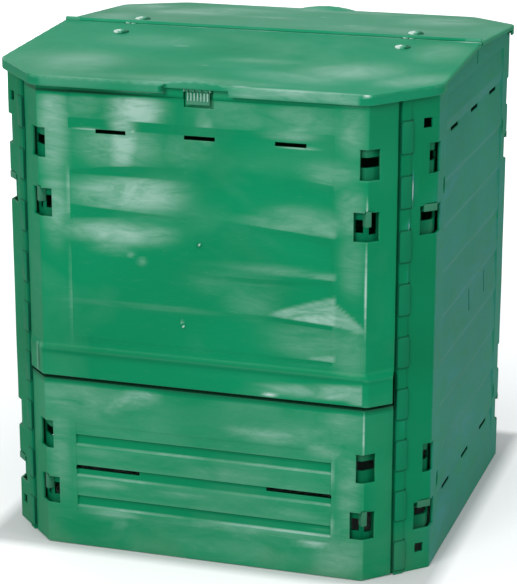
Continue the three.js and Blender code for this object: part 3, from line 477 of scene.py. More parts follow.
# %% Faces of a closed sheet
def sheet_faces(outside, inside, solid):
    """Faces of a closed sheet. The arguments number the crossings and say which cells are plastic."""
    lower_left = (slice(None, -1), slice(None, -1))
    corners = [lower_left, (slice(1, None), slice(None, -1)), (slice(1, None), slice(1, None)),
               (slice(None, -1), slice(1, None))]
    face = np.stack([outside[corner][solid] for corner in corners], axis=-1)
    back = np.stack([inside[corner][solid] for corner in reversed(corners)], axis=-1)
    faces = [face, back]
    padded = np.pad(solid, 1)
    neighbours = [padded[1:-1, :-2], padded[2:, 1:-1], padded[1:-1, 2:], padded[:-2, 1:-1]]
    for number, neighbour in enumerate(neighbours):
        rim = solid & ~neighbour
        first, second = corners[number], corners[(number + 1) % 4]
        faces.append(np.stack([outside[second][rim], outside[first][rim],
                               inside[first][rim], inside[second][rim]], axis=-1))
    return np.concatenate(faces).tolist()


four = np.arange(4).reshape(2, 2)
print("faces of a sheet with a single cell:", len(sheet_faces(four, four + 4, np.ones((1, 1), bool))))

# %% A sheet with relief, holes, and painted light and wear
NARROW_HOLE = 8
# Painted shade on the rims of holes: inside, and for narrow holes at the face as well.
INNER_RIM, NARROW_INNER_RIM, NARROW_OUTER_RIM = -0.7, -0.95, -0.85


def rim_shade(place, height, holes, outer):
    """Painted light and wear of the face and of the back, with the rims of the holes in painted shade."""
    inner = 0.0 * place
    for hole in holes:
        at_rim = hole_gap(place, height, hole) < 0.01
        narrow = min(hole[1] - hole[0], hole[3] - hole[2]) < NARROW_HOLE
        inner = np.where(at_rim, NARROW_INNER_RIM if narrow else INNER_RIM, inner)
        outer = np.where(at_rim & narrow, NARROW_OUTER_RIM, outer)
    return np.concatenate([outer.ravel(), inner.ravel()])


def sheet(columns, rows, relief, holes, place_points, thickness=WALL, bloom=None):
    """Points, faces, and painted light and wear of one moulded sheet."""
    place, height = np.meshgrid(columns, rows, indexing="ij")
    limits = (columns[0], columns[-1], rows[0], rows[-1])
    depth = relief(place, height)
    roll = rim_roll(place, height, holes, limits)
    face = place_points(place, depth + roll, height)
    wall = thickness(place, height) if callable(thickness) else thickness
    back = place_points(place, depth + wall - roll * 0.5, height)
    middle_x = (columns[1:] + columns[:-1]) / 2
    middle_z = (rows[1:] + rows[:-1]) / 2
    cell_x, cell_z = np.meshgrid(middle_x, middle_z, indexing="ij")
    solid = np.ones(cell_x.shape, bool)
    for x0, x1, z0, z1 in holes:
        solid &= ~((cell_x > x0) & (cell_x < x1) & (cell_z > z0) & (cell_z < z1))
    numbers = np.arange(place.size).reshape(place.shape)
    points = np.concatenate([face.reshape(-1, 3), back.reshape(-1, 3)])
    faces = sheet_faces(numbers, numbers + place.size, solid)
    outer = bloom(place, height) if bloom else 0.0 * place
    return points, faces, rim_shade(place, height, holes, outer)


print(f"holes narrower than {NARROW_HOLE} mm have dark rims")


# %% [markdown]
# The painted haze, painted shade, painted highlights and scuffs of a moulding are written as short lists,
# one row for each mark. A patch has a middle (place and height), two half sizes, a lean and a strength,
# and is a soft oval. A wedge has a tip and a broad end, as the painted haze on a board that leans out has.

# %% Painted haze, painted shade, highlights and rubbed marks on a moulding
def patches_of(patches):
    """Painted light and wear of a moulding from a list of soft patches: middle, half sizes, lean and
    strength.
    """
    def bloom(place, height):
        total = np.zeros(place.shape)
        for x, z, half_x, half_z, lean, strength in patches:
            across = (place - x - lean * (height - z)) / half_x
            along = (height - z) / half_z
            total = np.maximum(total, strength * np.exp(-(across ** 2 + along ** 2) ** 1.5))
        return total
    return bloom


def wedges_of(wedges):
    """Painted haze in wedges: tip, place of the broad end, its lowest and highest point, and strength."""
    def bloom(place, height):
        total = np.zeros(place.shape)
        for tip_x, tip_z, end_x, low_z, high_z, strength in wedges:
            share = (place - tip_x) / (end_x - tip_x)
            low, high = tip_z + (low_z - tip_z) * share, tip_z + (high_z - tip_z) * share
            inside = ease(height, low - 1.5, low + 1.5) * (1 - ease(height, high - 5, high + 3))
            inside = inside * ease(share, 0, 0.4) * (share <= 1)
            total = np.maximum(total, strength * inside)
        return total
    return bloom


def marked(haze, shade):
    """Painted haze and painted shade in one number. The shade clears the haze, and the near white highlights
    and rubs lie over both.
    """
    return np.where(haze > 1.2, haze, haze * np.clip(1 - 3 * shade, 0, 1) - shade)


print("a patch is strongest in its middle:", patches_of([(0, 0, 10, 10, 0, 1)])(np.zeros(1), np.zeros(1)))

# %% Points of a mesh, and its painted light and wear
def turned(points, angle):
    """Points turned about the bin's upright axis."""
    cosine, sine = math.cos(angle), math.sin(angle)
    x, y, z = points[:, 0], points[:, 1], points[:, 2]
    return np.stack([x * cosine - y * sine, x * sine + y * cosine, z], axis=-1)


def write_light_and_wear(mesh, values):
    """Writes the painted light and wear of every point of a mesh."""
    bloom = mesh.attributes.new("bloom", "FLOAT", "POINT")
    bloom.data.foreach_set("value", np.asarray(values, np.float32))


def points_of(mesh):
    """The points of a mesh in millimetres."""
    found = np.empty(3 * len(mesh.vertices), np.float32)
    mesh.vertices.foreach_get("co", found)
    return found.reshape(-1, 3) / METRES


print("a quarter turn takes the front to the right:", turned(np.array([[0.0, -1, 0]]), QUARTER).round(1)[0])

# %% [markdown]
# A moulding may be made of several closed parts. They are joined to one mesh, which is smooth except at
# its real corners. Then it says which body it rides on and which measured nodes it stands for.

# %% From parts to one named object
SHARP_ANGLE = math.radians(38)


def joined_parts(parts):
    """Several parts with faces of any number of corners, as one."""
    points, faces, light_and_wear_values, count = [], [], [], 0
    for part_points, part_faces, part_light_and_wear in parts:
        points.append(np.asarray(part_points, float))
        faces += [[index + count for index in face] for face in part_faces]
        light_and_wear_values.append(np.broadcast_to(part_light_and_wear, len(part_points)))
        count += len(part_points)
    return np.concatenate(points), faces, np.concatenate(light_and_wear_values)


def make_piece(name, parts, angle, material):
    """One object from several closed parts, each with its points in millimetres, its faces and its painted
    light and wear.
    """
    points, faces, light_and_wear_values = joined_parts(parts)
    mesh = bpy.data.meshes.new(name)
    mesh.from_pydata((turned(points, angle) * METRES).tolist(), [], faces)
    write_light_and_wear(mesh, light_and_wear_values)
    work = bmesh.new()
    work.from_mesh(mesh)
    bmesh.ops.delete(work, geom=[v for v in work.verts if not v.link_faces], context="VERTS")
    work.to_mesh(mesh)
    work.free()
    mesh.shade_smooth()
    mesh.set_sharp_from_angle(angle=SHARP_ANGLE)
    mesh.materials.append(material)
    piece = bpy.data.objects.new(name, mesh)
    bpy.context.scene.collection.objects.link(piece)
    print(f"{name}: {len(mesh.polygons)} faces")
    return piece


def dress(piece, body, slot, *nodes):
    """The piece rides on a body and stands for measured nodes, which are hidden. The slot is not used."""
    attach(piece, body)
    if nodes:
        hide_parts(*nodes)
    return piece


print(f"edges sharper than {math.degrees(SHARP_ANGLE):.0f} degrees stay crisp")

# %% [markdown]
# The boards are drawn as one profile: each leans out towards its lower edge and steps back under it, like
# weatherboarding. On the real panel the steps are soft. They are bold near the ends of each board and
# fade towards its middle, because the wide thin field sinks a little as it cools. Each board fades by
# its own amount, so no two look the same, and on the upper panels the laps bend up and down as well.

# %% Relief of the lapped boards
BOARD_DEPTH, TOP_BOARD_DEPTH, LAP_DEPTH, MEAN_DEPTH = 3.4, 3, 0.4, 1.9
RAMP_RUN, EDGE_RUN = 2.1, 0.6
FADE_REACH = 34.0
RAMP_STEPS = (0, 1.4, 2.8, 4.2, 5.6, 7, 8.5)
FADE_PLACES = (-219, -150, -95, -30, 0, 30, 95, 150, 219)


def lap_profile(laps, bottom_depth=None, bottom=None):
    """Heights and depths of a field, listed from its foot up, for laps listed from the top down."""
    profile = [(FIELD_TOP, TOP_BOARD_DEPTH)]
    for height, fall in laps:
        profile += [(height, LAP_DEPTH), (height - fall, BOARD_DEPTH)]
    if bottom is not None:
        profile.append((bottom, bottom_depth))
    profile.reverse()
    heights, depths = zip(*profile)
    return np.array(heights, float), np.array(depths, float)


def softened(height, profile, spread=1.6):
    """The profile's depth, with its corners rounded."""
    shares = (-1, -0.5, 0, 0.5, 1)
    return sum(np.interp(height + share * spread, *profile) for share in shares) / len(shares)


def fade_of_boards(place, height, laps, table):
    """How strongly each board shows at a place, from a table with one row for each board."""
    strength = np.ones(place.shape)
    for (lap, fall), row in zip(laps[1:], table):
        share = np.interp(place, FADE_PLACES, row)
        near = np.exp(-(((height - lap + fall / 2) / FADE_REACH) ** 2))
        strength = strength * (1 - near * (1 - share))
    return strength


def let_in(place, height, depth, top, bottom, run=RAMP_RUN):
    """The depth of a field that is let into a wall, with drafted ramps along all its edges."""
    ends = (FIELD_HALF - np.abs(place)) / run
    edges = np.minimum(top - height, height - bottom) / EDGE_RUN
    return np.clip(np.minimum(depth, np.minimum(ends, edges)), 0, None)


print("the laps' steps are between", LAP_DEPTH, "and", BOARD_DEPTH, "mm deep")

# %% A shallow unevenness
WAVE_COUNT = 7
WAVE_LENGTHS = (110, 330)


def slow_waves(place, height, size, seed):
    """A shallow unevenness of the kind that big thin mouldings have, from zero to size."""
    rng = np.random.default_rng(seed)
    total = np.zeros(np.broadcast(place, height).shape)
    for _ in range(WAVE_COUNT):
        angle = rng.uniform(0, math.pi)
        length = rng.uniform(*WAVE_LENGTHS)
        along = place * math.cos(angle) + height * math.sin(angle)
        total = total + np.sin(2 * math.pi * along / length + rng.uniform(0, 2 * math.pi))
    return size * (0.5 + total / 9).clip(0, 1)


sample = slow_waves(np.linspace(-FIELD_HALF, FIELD_HALF, 50), 500, 0.7, 3)
print(f"waves of an upper panel: {sample.min():.2f} to {sample.max():.2f} mm deep")

# %% [markdown]
# The boards of the end walls, from the top down. One table says how strongly each lap shows at nine places
# along it, and another how far its upper and its lower edge are bent up or down there.

# %% Laps of the end walls
end_laps = [(FIRST_LAP, 18)]
END_FIELD_BOTTOM = SEAM_HEIGHT + 41 + 20
END_PITCH = (BOARD_TOP - END_FIELD_BOTTOM) / 5
end_laps += [(BOARD_TOP - number * END_PITCH, 8) for number in range(1, 5)]
end_laps.append((END_FIELD_BOTTOM + 6, 6))
END_FADE = [
    (1.0, 1.0, 0.9, 0.6, 0.4, 0.4, 0.4, 0.6, 0.8),
    (1.0, 1.0, 0.8, 0.2, 0.0, 0.3, 0.7, 1.0, 1.0),
    (0.2, 0.2, 0.1, 0.1, 0.3, 0.5, 0.7, 0.8, 0.8),
    (0.3, 0.3, 0.3, 0.2, 0.1, 0.2, 0.6, 1.0, 1.0),
    (0.5, 0.5, 0.5, 0.5, 0.5, 0.5, 0.6, 0.9, 1.0),
]
END_BENDS = [
    ((-1, -1, -1, -2, -3, -3, -3, -3, -1), (0, 0, 0, 0, 0, 0, 0, 0, 0)),
    ((2, 13, 17, 18, 18, 18, 17, 16, 8), (4, 4, 4, 4, 4, 4, 4, 4, 4)),
    ((18, 14, 11, 9, 8, 8, 5, 1, -6), (2, 8, 14, 14, 6, 0, 0, -2, -10)),
    ((0, 0, 0, -4, -8, -10, -10, -8, -2), (0, 0, 0, -4, -8, -10, -10, -8, -2)),
    ((0, 0, 0, 0, 0, 0, 2, -1, -5), (0, 0, 0, 0, 0, 0, 2, -1, -5)),
]


BELOW_VENTS = BOARD_TOP - 9
BEND_FADE = 24


def bend_of_laps(place, height):
    """How far a row of an upper panel is bent up or down. The vents below the first lap stay level."""
    knots = [(level, row) for (lap, fall), pair in zip(end_laps, END_BENDS)
             for level, row in zip((lap, lap - fall), pair)]
    knots = [(FIELD_TOP, 0), *knots[:2], (BELOW_VENTS, 0), *knots[2:], (END_FIELD_BOTTOM + 6, 0)]
    total = 0 * place
    bends = [np.interp(place, FADE_PLACES, np.broadcast_to(row, len(FADE_PLACES))) for _, row in knots]
    for (upper, _), (lower, _), above, below in zip(knots, knots[1:], bends, bends[1:]):
        share = np.clip((height - lower) / (upper - lower), 0, 1)
        total = np.where((height <= upper) & (height > lower), below + (above - below) * share, total)
    return total * (1 - ease(np.abs(place), FIELD_HALF, FIELD_HALF + BEND_FADE))


def on_steps(place, height, laps, table):
    """One on the steps between the boards, as far as they show at a place, and zero on the boards."""
    total = 0 * place
    for lap, fall in laps:
        risen = ease(height, lap - fall - 1.2, lap - fall + 0.8)
        total = total + risen * (1 - ease(height, lap - 0.8, lap + 0.6))
    return total * (np.abs(place) < FIELD_HALF) * fade_of_boards(place, height, laps, table)


print("laps of an upper panel at", [round(float(height), 1) for height, _ in end_laps])

# %% [markdown]
# Each corner flange has windows that run round the bend. The inner bracket's hook sits in one and the
# other lets a hand reach it. They are the same on all the walls except for how far they reach along the
# flange, so one function lists them for any wall.

# %% Windows, pockets and vents as rectangles on the rolled-out wall
HOOK_WINDOW = 46
KEY_RISE, KEY_WINDOW = 97, 48
HOOK_ON_FACE, KEY_ON_FACE = 21, 12
END_WINDOWS, SIDE_WINDOWS = (23, 23), (31, 16)
END_TONGUE, SIDE_TONGUE = 9, 24
REBATE_DEPTH, REBATE_PLAY, REBATE_HEIGHT = 3, 1.5, 4
VENT_LENGTH, VENT_HEIGHT, VENT_DROP = 50, 6, 0.7


def bend_windows(level, hook_flange, key_flange):
    """The hook window and the key window of both bends."""
    found = []
    for side in (-1, 1):
        for face, flange, bottom, height in (
            (HOOK_ON_FACE, hook_flange, level, HOOK_WINDOW),
            (KEY_ON_FACE, key_flange, level + KEY_RISE, KEY_WINDOW),
        ):
            ends = sorted((side * (BEND - face), side * (BEND + flange)))
            found.append((*ends, bottom, bottom + height))
    return found


def vent_row(top, length, height, shares):
    """Slots of one size whose middles stand at shares of the field's half width."""
    middles = [share * FIELD_HALF for share in shares]
    return [(x - length / 2, x + length / 2, top - height, top) for x in middles]


def sunk(place, height, x0, x1, z0, z1, depth, edge=0.8):
    """A shallow pocket with soft sides."""
    across = ease(place, x0 - edge, x0) * (1 - ease(place, x1, x1 + edge))
    return depth * across * ease(height, z0 - edge, z0) * (1 - ease(height, z1, z1 + edge))


def hook_rebates(place, height, level, tongue):
    """The rebates above the hook windows, in which the lips of the brackets' tongues lie."""
    top = level + HOOK_WINDOW
    return sunk(np.abs(place), height, BEND - REBATE_PLAY, BEND + tongue + REBATE_PLAY,
                top - 1, top + REBATE_HEIGHT, REBATE_DEPTH)


def on_flange(place):
    """Zero on the flat of a wall and one past its bend."""
    return ease(np.abs(place), BEND + 1.5, BEND + 4)


VENT_SHARES = (-0.676, 0, 0.676)
RAMP_PLACES = [FIELD_HALF - step for step in RAMP_STEPS]
BEND_PLACES = [BEND + share * BEND_TANGENT for share in (-1.33, -1, -0.5, 0, 0.5, 1, 1.33)]
FLANGE_END = FLANGE_HALF - 9
print("windows of an upper panel:", len(bend_windows(UPPER_HOOK, *END_WINDOWS)))

# %% [markdown]
# The upper panel carries the boards, a row of three vents, a pocket for the latch, and a hem that stands
# proud along its foot. The hem hides the tongue of the removal flap, and its own lower edge draws the dark
# seam across the bin. Its ends stop short of the flange edges with a slanted corner, and the left one
# stands less proud than the right one.

# %% The shape of an upper panel
LATCH_POCKET_HALF = 24
LATCH_POCKET_FLOOR = 7
LATCH_POCKET_BOTTOM = 759.6
HEM_PROUD, HEM_CORNER_PROUD = 6, (4, 10)
HEM_SLOPE = (341.5, 353)
HEM_END_INSET = 8
FLAP_PLAY = 0.8


def hem_proud(place):
    """How far the hem stands out. It is less at the left corner than at the right one."""
    corner = np.where(place < 0, *HEM_CORNER_PROUD)
    return HEM_PROUD + (corner - HEM_PROUD) * ease(np.abs(place), BEND - 4, BEND + 4)


def panel_thickness(place, height):
    """The hem is thinner where it stands less proud, so that the flap can slide up behind it."""
    return WALL - (1 - ease(height, *HEM_SLOPE)) * np.clip(WALL + FLAP_PLAY - hem_proud(place), 0, WALL - 2)


def upper_panel_relief(place, height):
    """How deep the face lies: let-in boards, rebates, the latch's pocket and the proud hem."""
    laps = lap_profile(end_laps)
    strength = fade_of_boards(place, height, end_laps, END_FADE)
    boards = MEAN_DEPTH + (softened(height, laps) - MEAN_DEPTH) * strength
    depth = let_in(place, height, boards, FIELD_TOP, END_FIELD_BOTTOM)
    depth = depth + hook_rebates(place, height, UPPER_HOOK, END_TONGUE)
    pocket = sunk(place, height, -LATCH_POCKET_HALF, LATCH_POCKET_HALF, LATCH_POCKET_BOTTOM, 900,
                  LATCH_POCKET_FLOOR, 0.6)
    depth = np.maximum(depth, pocket)
    hem = 1 - ease(height, *HEM_SLOPE)
    return depth - hem * hem_proud(place) + slow_waves(place, height, 0.7, 3) * (1 - hem)


def upper_panel_points(place, depth, height):
    """The laps are bent, and the hem's ends stop short of the flange edges."""
    height = height + bend_of_laps(place, height)
    inset = HEM_END_INSET * (1 - ease(height, *HEM_SLOPE))
    beyond = np.maximum(np.abs(place) - BEND, 0)
    place = np.sign(place) * (np.minimum(np.abs(place), BEND) + beyond * (1 - inset / FLANGE_END))
    return wall_points(place, depth, height)


middle_of_hem = (HEM_SLOPE[0] + SEAM_HEIGHT) / 2
print(f"the hem is {float(panel_thickness(-BEND - 9, middle_of_hem)):.1f} mm thick at its left end")

# %% [markdown]
# The net of the upper panel needs lines where the surface turns: beside the laps, the ramps, the latch
# pocket and the bends. Two small pips, left by the gates of the moulding machine, get close lines as well.

# %% The net of an upper panel
gate_marks = [(-1, 538, 3.2, 0.9), (-29, 401, 3.2, 0.5)]
PIP_STEPS = (-9, -6, -3, 0, 3, 6, 9)
GATE_DENT = 0.9
panel_holes = bend_windows(UPPER_HOOK, *END_WINDOWS)
panel_holes += vent_row(BOARD_TOP - VENT_DROP, VENT_LENGTH, VENT_HEIGHT, VENT_SHARES)


def both_sides(*places):
    """The places left and right of a wall's middle."""
    return [side * place for side in (-1, 1) for place in places]


def lap_lines(laps):
    """Heights of the lines that a lap's step needs, with its two soft corners."""
    lines = []
    for height, fall in laps:
        low = height - fall
        lines += [height + 2, height + 0.6, height - 0.8, (height + low) / 2, low + 0.8, low - 1.2]
    return lines


panel_columns = net_lines(
    -BEND - FLANGE_END, BEND + FLANGE_END, 5, [hole[:2] for hole in panel_holes],
    both_sides(*RAMP_PLACES, LATCH_POCKET_HALF, LATCH_POCKET_HALF + 0.6, *BEND_PLACES)
    + [x + step for x, _, _, _ in gate_marks for step in PIP_STEPS])
panel_rows = net_lines(
    SEAM_HEIGHT, EAVE_TOP, 5, [hole[2:] for hole in panel_holes],
    lap_lines(end_laps) + [z + step for _, z, _, _ in gate_marks for step in PIP_STEPS]
    + [FIELD_TOP, FIELD_TOP - 2, LATCH_POCKET_BOTTOM, LATCH_POCKET_BOTTOM - 0.6, END_FIELD_BOTTOM,
       *np.linspace(*HEM_SLOPE, 6)])


def gate_mark(place, height):
    """The small pips that the moulding machine's gates leave, each in a shallow ring."""
    total = 0 * place
    for x, z, radius, rise in gate_marks:
        distance = np.hypot(place - x, height - z)
        total = total + GATE_DENT * np.exp(-((distance - 2.6 * radius) / radius) ** 2) * 0.4
        total = total - rise * np.exp(-(distance / (0.7 * radius)) ** 2)
    return total


print("net of an upper panel:", len(panel_columns), "columns,", len(panel_rows), "rows")

# %% [markdown]
# The upper panel's painted haze lies thickest at the top left and left of the middle, and at the right in
# wedges where a board leans out. It stays off the steps between the boards, and the middle of the field is
# clear. Rubbed spots and painted highlights are drawn over it, the highlights on the two pips the brightest
# among them. The lid's painted shadow lies along the upper edge of the field, and painted shade lies along
# the upper edge of the hem, down the hem's left end, round the pips and on the flanges.

# %% Painted haze and shade on an upper panel
PANEL_PAINTED_HAZE_AND_RUBS = [
    (-106, 752, 44, 34, 0, 1.15), (-190, 752, 30, 22, 0, 0.34), (-244, 715, 26, 90, 0, 0.58),
    (-243, 590, 22, 62, 0, 0.46), (60, 752, 60, 24, 0, 0.24), (172, 750, 70, 24, 0, 0.3),
    (246, 742, 22, 40, 0, 0.36), (-126, 696, 26, 44, 0.1, 1.0), (-134, 690, 70, 34, 0, 0.45),
    (10, 728, 14, 26, 0, 0.5), (-30, 690, 40, 24, 0, 0.2), (212, 668, 44, 20, 0, 0.36),
    (-112, 612, 92, 28, 0.2, 0.9), (-140, 548, 88, 18, 0.3, 0.8), (-150, 522, 34, 10, 0, 0.3),
    (170, 592, 80, 20, 0, 0.34), (110, 508, 90, 7, -0.1, 0.34), (60, 480, 70, 24, 0, 0.18),
    (190, 396, 74, 30, 0, 0.26), (246, 380, 28, 46, 0, 0.26), (-90, 428, 130, 5, -0.06, 0.16),
    (247, 610, 22, 40, 0, 0.4), (250, 530, 20, 50, 0, 0.26), (-117, 513, 6, 4, 0, 0.4),
    (-98, 502, 7, 6, 0, 0.4), (40, 485, 12, 3, 0, 0.3), (-185, 734, 26, 1.4, 0, 0.8),
    (272, 600, 2, 28, 0, 1.7), (271.5, 490, 2, 66, 0, 1.3), (262, 628.5, 9, 1.4, 0, 1.6),
    (-220, 610, 1.6, 44, 0, 0.8), (-220.5, 450, 1.4, 88, 0, 0.7), (118, 303, 12, 2, 0, 1.9),
    (83, 456, 44, 26, 0, 0.34), (166, 311, 60, 7, 0, 0.4), (-279, 345, 8, 6, 0, 0.8),
]
PANEL_RUBS_AND_HIGHLIGHTS = [
    (-127, 724, 20, 24, 0, 0.85), (148, 726, 42, 9, 0, 0.5), (163, 738, 16, 5, 0, 0.5),
    (-185, 712, 24, 1.6, 0, 0.9), (-111, 713, 3, 2, 0, 1.2), (163, 705.5, 27, 1.2, 0, 0.8),
    (-1, 538, 2.6, 2.6, 0, 1.95), (-29, 401, 2.2, 2.2, 0, 1.9), (-31, 407, 2, 3.4, 0, 0.6),
]
PANEL_CLEARINGS = [(26, 575, 62, 84, 0, 0.95), (70, 470, 60, 40, 0, 0.6), (110, 650, 60, 24, 0, 0.7)]
PANEL_WEDGES = [
    (100, 434, 220, 426, 472, 0.95), (282, 416, 221.5, 426, 464, 0.6), (168, 368, 219, 366, 379, 0.6),
    (20, 508, 222, 499, 511, 0.4), (-70, 590, 219, 567, 600, 0.34), (60, 318, 268, 303, 335, 0.62),
]
PANEL_SHADES = [
    (-190, 772, 150, 4, 0, 0.9), (100, 774, 160, 3, 0, 0.3), (0, 341, 420, 6, 0, 0.26),
    (-285, 322, 1.5, 24, 0, 0.8), (-1, 538, 4.5, 4.5, 0, 0.5), (-29, 401, 4.5, 4.5, 0, 0.3),
]


# Painted shade on the flanges, stronger towards the top.
FLANGE_SHADE, UPPER_FLANGE_SHADE = 0.08, 0.1


def panel_light_and_wear(place, height):
    """Painted haze that lies on the boards and leaves the steps between them clear, and the places with
    painted shade.
    """
    real = height + bend_of_laps(place, height)
    haze = np.maximum(patches_of(PANEL_PAINTED_HAZE_AND_RUBS)(place, real), wedges_of(PANEL_WEDGES)(place, real))
    haze = haze * (1 - on_steps(place, height, end_laps, END_FADE))
    haze = haze * (1 - patches_of(PANEL_CLEARINGS)(place, real))
    haze = np.maximum(haze, patches_of(PANEL_RUBS_AND_HIGHLIGHTS)(place, height))
    flange = (FLANGE_SHADE + UPPER_FLANGE_SHADE * ease(height, 560, 760)) * on_flange(place)
    return marked(haze, np.maximum(flange, patches_of(PANEL_SHADES)(place, real)))


print("patches of haze on an upper panel:", len(PANEL_PAINTED_HAZE_AND_RUBS))

# %% Upper panels of the front and the rear
panel_parts = [sheet(
    panel_columns, panel_rows,
    lambda place, height: upper_panel_relief(place, height) + gate_mark(place, height),
    panel_holes, upper_panel_points, panel_thickness, panel_light_and_wear)]
for end, angle in (("front", 0), ("rear", math.pi)):
    piece = make_piece(f"{end}_upper_moulding", panel_parts, angle, panel_green)
    dress(piece, "bin", "panel", f"{end}_upper_panel")

# %% [markdown]
# The removal flap is drawn in the same way. Its field has three louvres, each a sharp edge over a deeper
# floor that slopes back out at its foot, and two long vents in the middle one. A second, narrower sheet
# stands behind it as the tongue that slides up under the hem.

# %% The shape of a flap
FLAP_TOP = SEAM_HEIGHT - 7
FLAP_FIELD = (61, SEAM_HEIGHT - 83)
LOUVRE_HEIGHTS = (197, 143, 89)
FLAP_FIELD_DEPTH = 1
LOUVRE_PROFILE = (0, 1, 8.5, 16, 18, 20)
LOUVRE_DEPTHS = (1, 5, 4.7, 4.4, 2.7, 1)
FLAP_VENT_DROP, FLAP_VENT_SHARES = 1.7, (-0.75, 0.75)
TONGUE_REACH, TONGUE_INSET, TONGUE_SETBACK = 19, 8, 4


def flap_relief(place, height):
    """How deep the face lies: the let-in field with its louvres, and the rebates."""
    heights, depths = [0, FLAP_FIELD[1]], [FLAP_FIELD_DEPTH, FLAP_FIELD_DEPTH]
    for louvre in LOUVRE_HEIGHTS:
        heights += [louvre - fall for fall in LOUVRE_PROFILE]
        depths += LOUVRE_DEPTHS
    order = np.argsort(heights)
    profile = (np.array(heights, float)[order], np.array(depths, float)[order])
    field = softened(height, profile, 0.5)
    depth = let_in(place, height, field, FLAP_FIELD[1], FLAP_FIELD[0], 0.6)
    return depth + hook_rebates(place, height, LOWER_HOOK, END_TONGUE) + slow_waves(place, height, 0.6, 9)


flap_holes = bend_windows(LOWER_HOOK, *END_WINDOWS)
flap_holes += vent_row(LOUVRE_HEIGHTS[1] - FLAP_VENT_DROP, FIELD_HALF / 2, VENT_HEIGHT, FLAP_VENT_SHARES)
flap_columns = net_lines(
    -BEND - FLANGE_END, BEND + FLANGE_END, 11, [hole[:2] for hole in flap_holes],
    both_sides(FIELD_HALF, FIELD_HALF - 0.9, FIELD_HALF - 1.8, FIELD_HALF - 3, *BEND_PLACES))
flap_rows = net_lines(
    1, FLAP_TOP, 11, [hole[2:] for hole in flap_holes],
    [*FLAP_FIELD, FLAP_FIELD[0] + 0.6, FLAP_FIELD[1] - 0.6]
    + [louvre - fall + step for louvre in LOUVRE_HEIGHTS for fall in LOUVRE_PROFILE for step in (-0.4, 0.4)])
tongue_end = BEND + FLANGE_END - TONGUE_INSET
tongue_columns = net_lines(-tongue_end, tongue_end, 20, [], both_sides(*BEND_PLACES))
tongue_rows = net_lines(FLAP_TOP - 5, SEAM_HEIGHT + TONGUE_REACH, 12, [], [])
print("net of a flap:", len(flap_columns), "columns,", len(flap_rows), "rows")

# %% [markdown]
# The flap's painted haze leaves the middle of its top and its lower left corner clear. The foot of each
# louvre is a pale lip, a painted highlight that is stronger at some places along it than at others, and
# the louvre's floor above the lip is painted clear of haze and a little darker, as shade. The flap's top
# edge is painted dark, as the shade under the hem.

# %% Painted haze and shade on a flap
FLAP_PAINTED_HAZE_AND_RUBS = [
    (-205, 262, 90, 42, 0, 0.32), (-118, 268, 46, 15, 1.1, 0.5), (-96, 284, 40, 4, 2, 1.1),
    (-138, 262, 9, 20, 1.2, 0.9), (108, 233, 70, 13, -0.4, 0.5), (168, 244, 60, 16, -0.4, 0.34),
    (206, 216, 30, 14, 0, 0.55), (236, 262, 34, 30, 0, 0.34), (-246, 170, 20, 90, 0, 0.3),
    (248, 150, 20, 70, 0, 0.36), (-170, 167, 56, 10, 0, 0.3), (60, 160, 120, 8, -0.1, 0.3),
    (-175, 112, 46, 9, 0, 0.5), (-40, 110, 60, 6, 0, 0.3), (150, 106, 80, 7, -0.1, 0.4),
    (126, 96, 60, 4, -0.1, 0.7), (201, 80, 22, 5, 0, 0.9), (-160, 64, 52, 7, 0, 0.5),
    (-143, 50, 10, 9, 0, 0.6), (60, 64, 150, 8, 0, 0.34), (232, 34, 46, 40, 0.3, 0.34),
    (60, 30, 150, 24, 0, 0.2), (-2, 160, 2, 2, 0, 1.8), (-111, 131, 16, 2, 0, 0.9),
    (271.5, 244, 1.6, 46, 0, 1.2), (219.6, 180, 1.2, 26, 0, 0.6), (219.6, 90, 1.2, 20, 0, 0.6),
    (190, 58, 30, 1.6, -0.1, 1.3),
]
FLAP_CLEARINGS = [(-10, 250, 56, 44, 0, 0.9), (-205, 36, 60, 26, 0, 0.8)]
LIP_PLACES = (-219, -180, -110, -60, 0, 60, 130, 180, 219)
LIP_HIGHLIGHTS = [(0.4, 0.3, 0.5, 0.6, 0.4, 0.3, 0.6, 0.7, 0.6), (0.4, 0.6, 0.5, 0.2, 0.1, 0.2, 0.3, 0.6, 0.7),
              (0.3, 0.4, 0.7, 0.4, 0.2, 0.6, 1.0, 0.8, 0.6)]


LEAST_HAZE = 0.1
FLAP_FLANGE_SHADE, FLAP_TOP_SHADE = 0.12, 0.9
LIP_FALL, LIP_HALF = 18.2, 1.9
FLOOR_CLEARED, FLOOR_SHADE, FLOOR_TOP_SHADE = 0.75, 0.08, 0.3


def flap_light_and_wear(place, height):
    """Painted haze on the flap, painted pale lips at the foot of each louvre, and louvre floors painted clear
    and darker.
    """
    haze = np.maximum(patches_of(FLAP_PAINTED_HAZE_AND_RUBS)(place, height), LEAST_HAZE)
    haze = haze * (1 - patches_of(FLAP_CLEARINGS)(place, height))
    field = np.abs(place) < FIELD_HALF
    shade = FLAP_FLANGE_SHADE * on_flange(place)
    shade = shade + FLAP_TOP_SHADE * ease(height, FLAP_TOP - 1.8, FLAP_TOP - 0.6)
    for louvre, lips in zip(LOUVRE_HEIGHTS, LIP_HIGHLIGHTS):
        floor = field * ease(height, louvre - 17, louvre - 15.5)
        floor = floor * (1 - ease(height, louvre - 0.6, louvre + 0.4))
        lip = field * np.exp(-(((height - louvre + LIP_FALL) / LIP_HALF) ** 4))
        haze = np.maximum(haze * (1 - FLOOR_CLEARED * floor), lip * np.interp(place, LIP_PLACES, lips))
        under_edge = FLOOR_SHADE + FLOOR_TOP_SHADE * ease(height, louvre - 3.5, louvre - 1)
        shade = np.maximum(shade, floor * under_edge)
    return marked(haze, shade)


print("marks on a flap:", len(FLAP_PAINTED_HAZE_AND_RUBS) + len(FLAP_CLEARINGS) + len(LIP_HIGHLIGHTS))

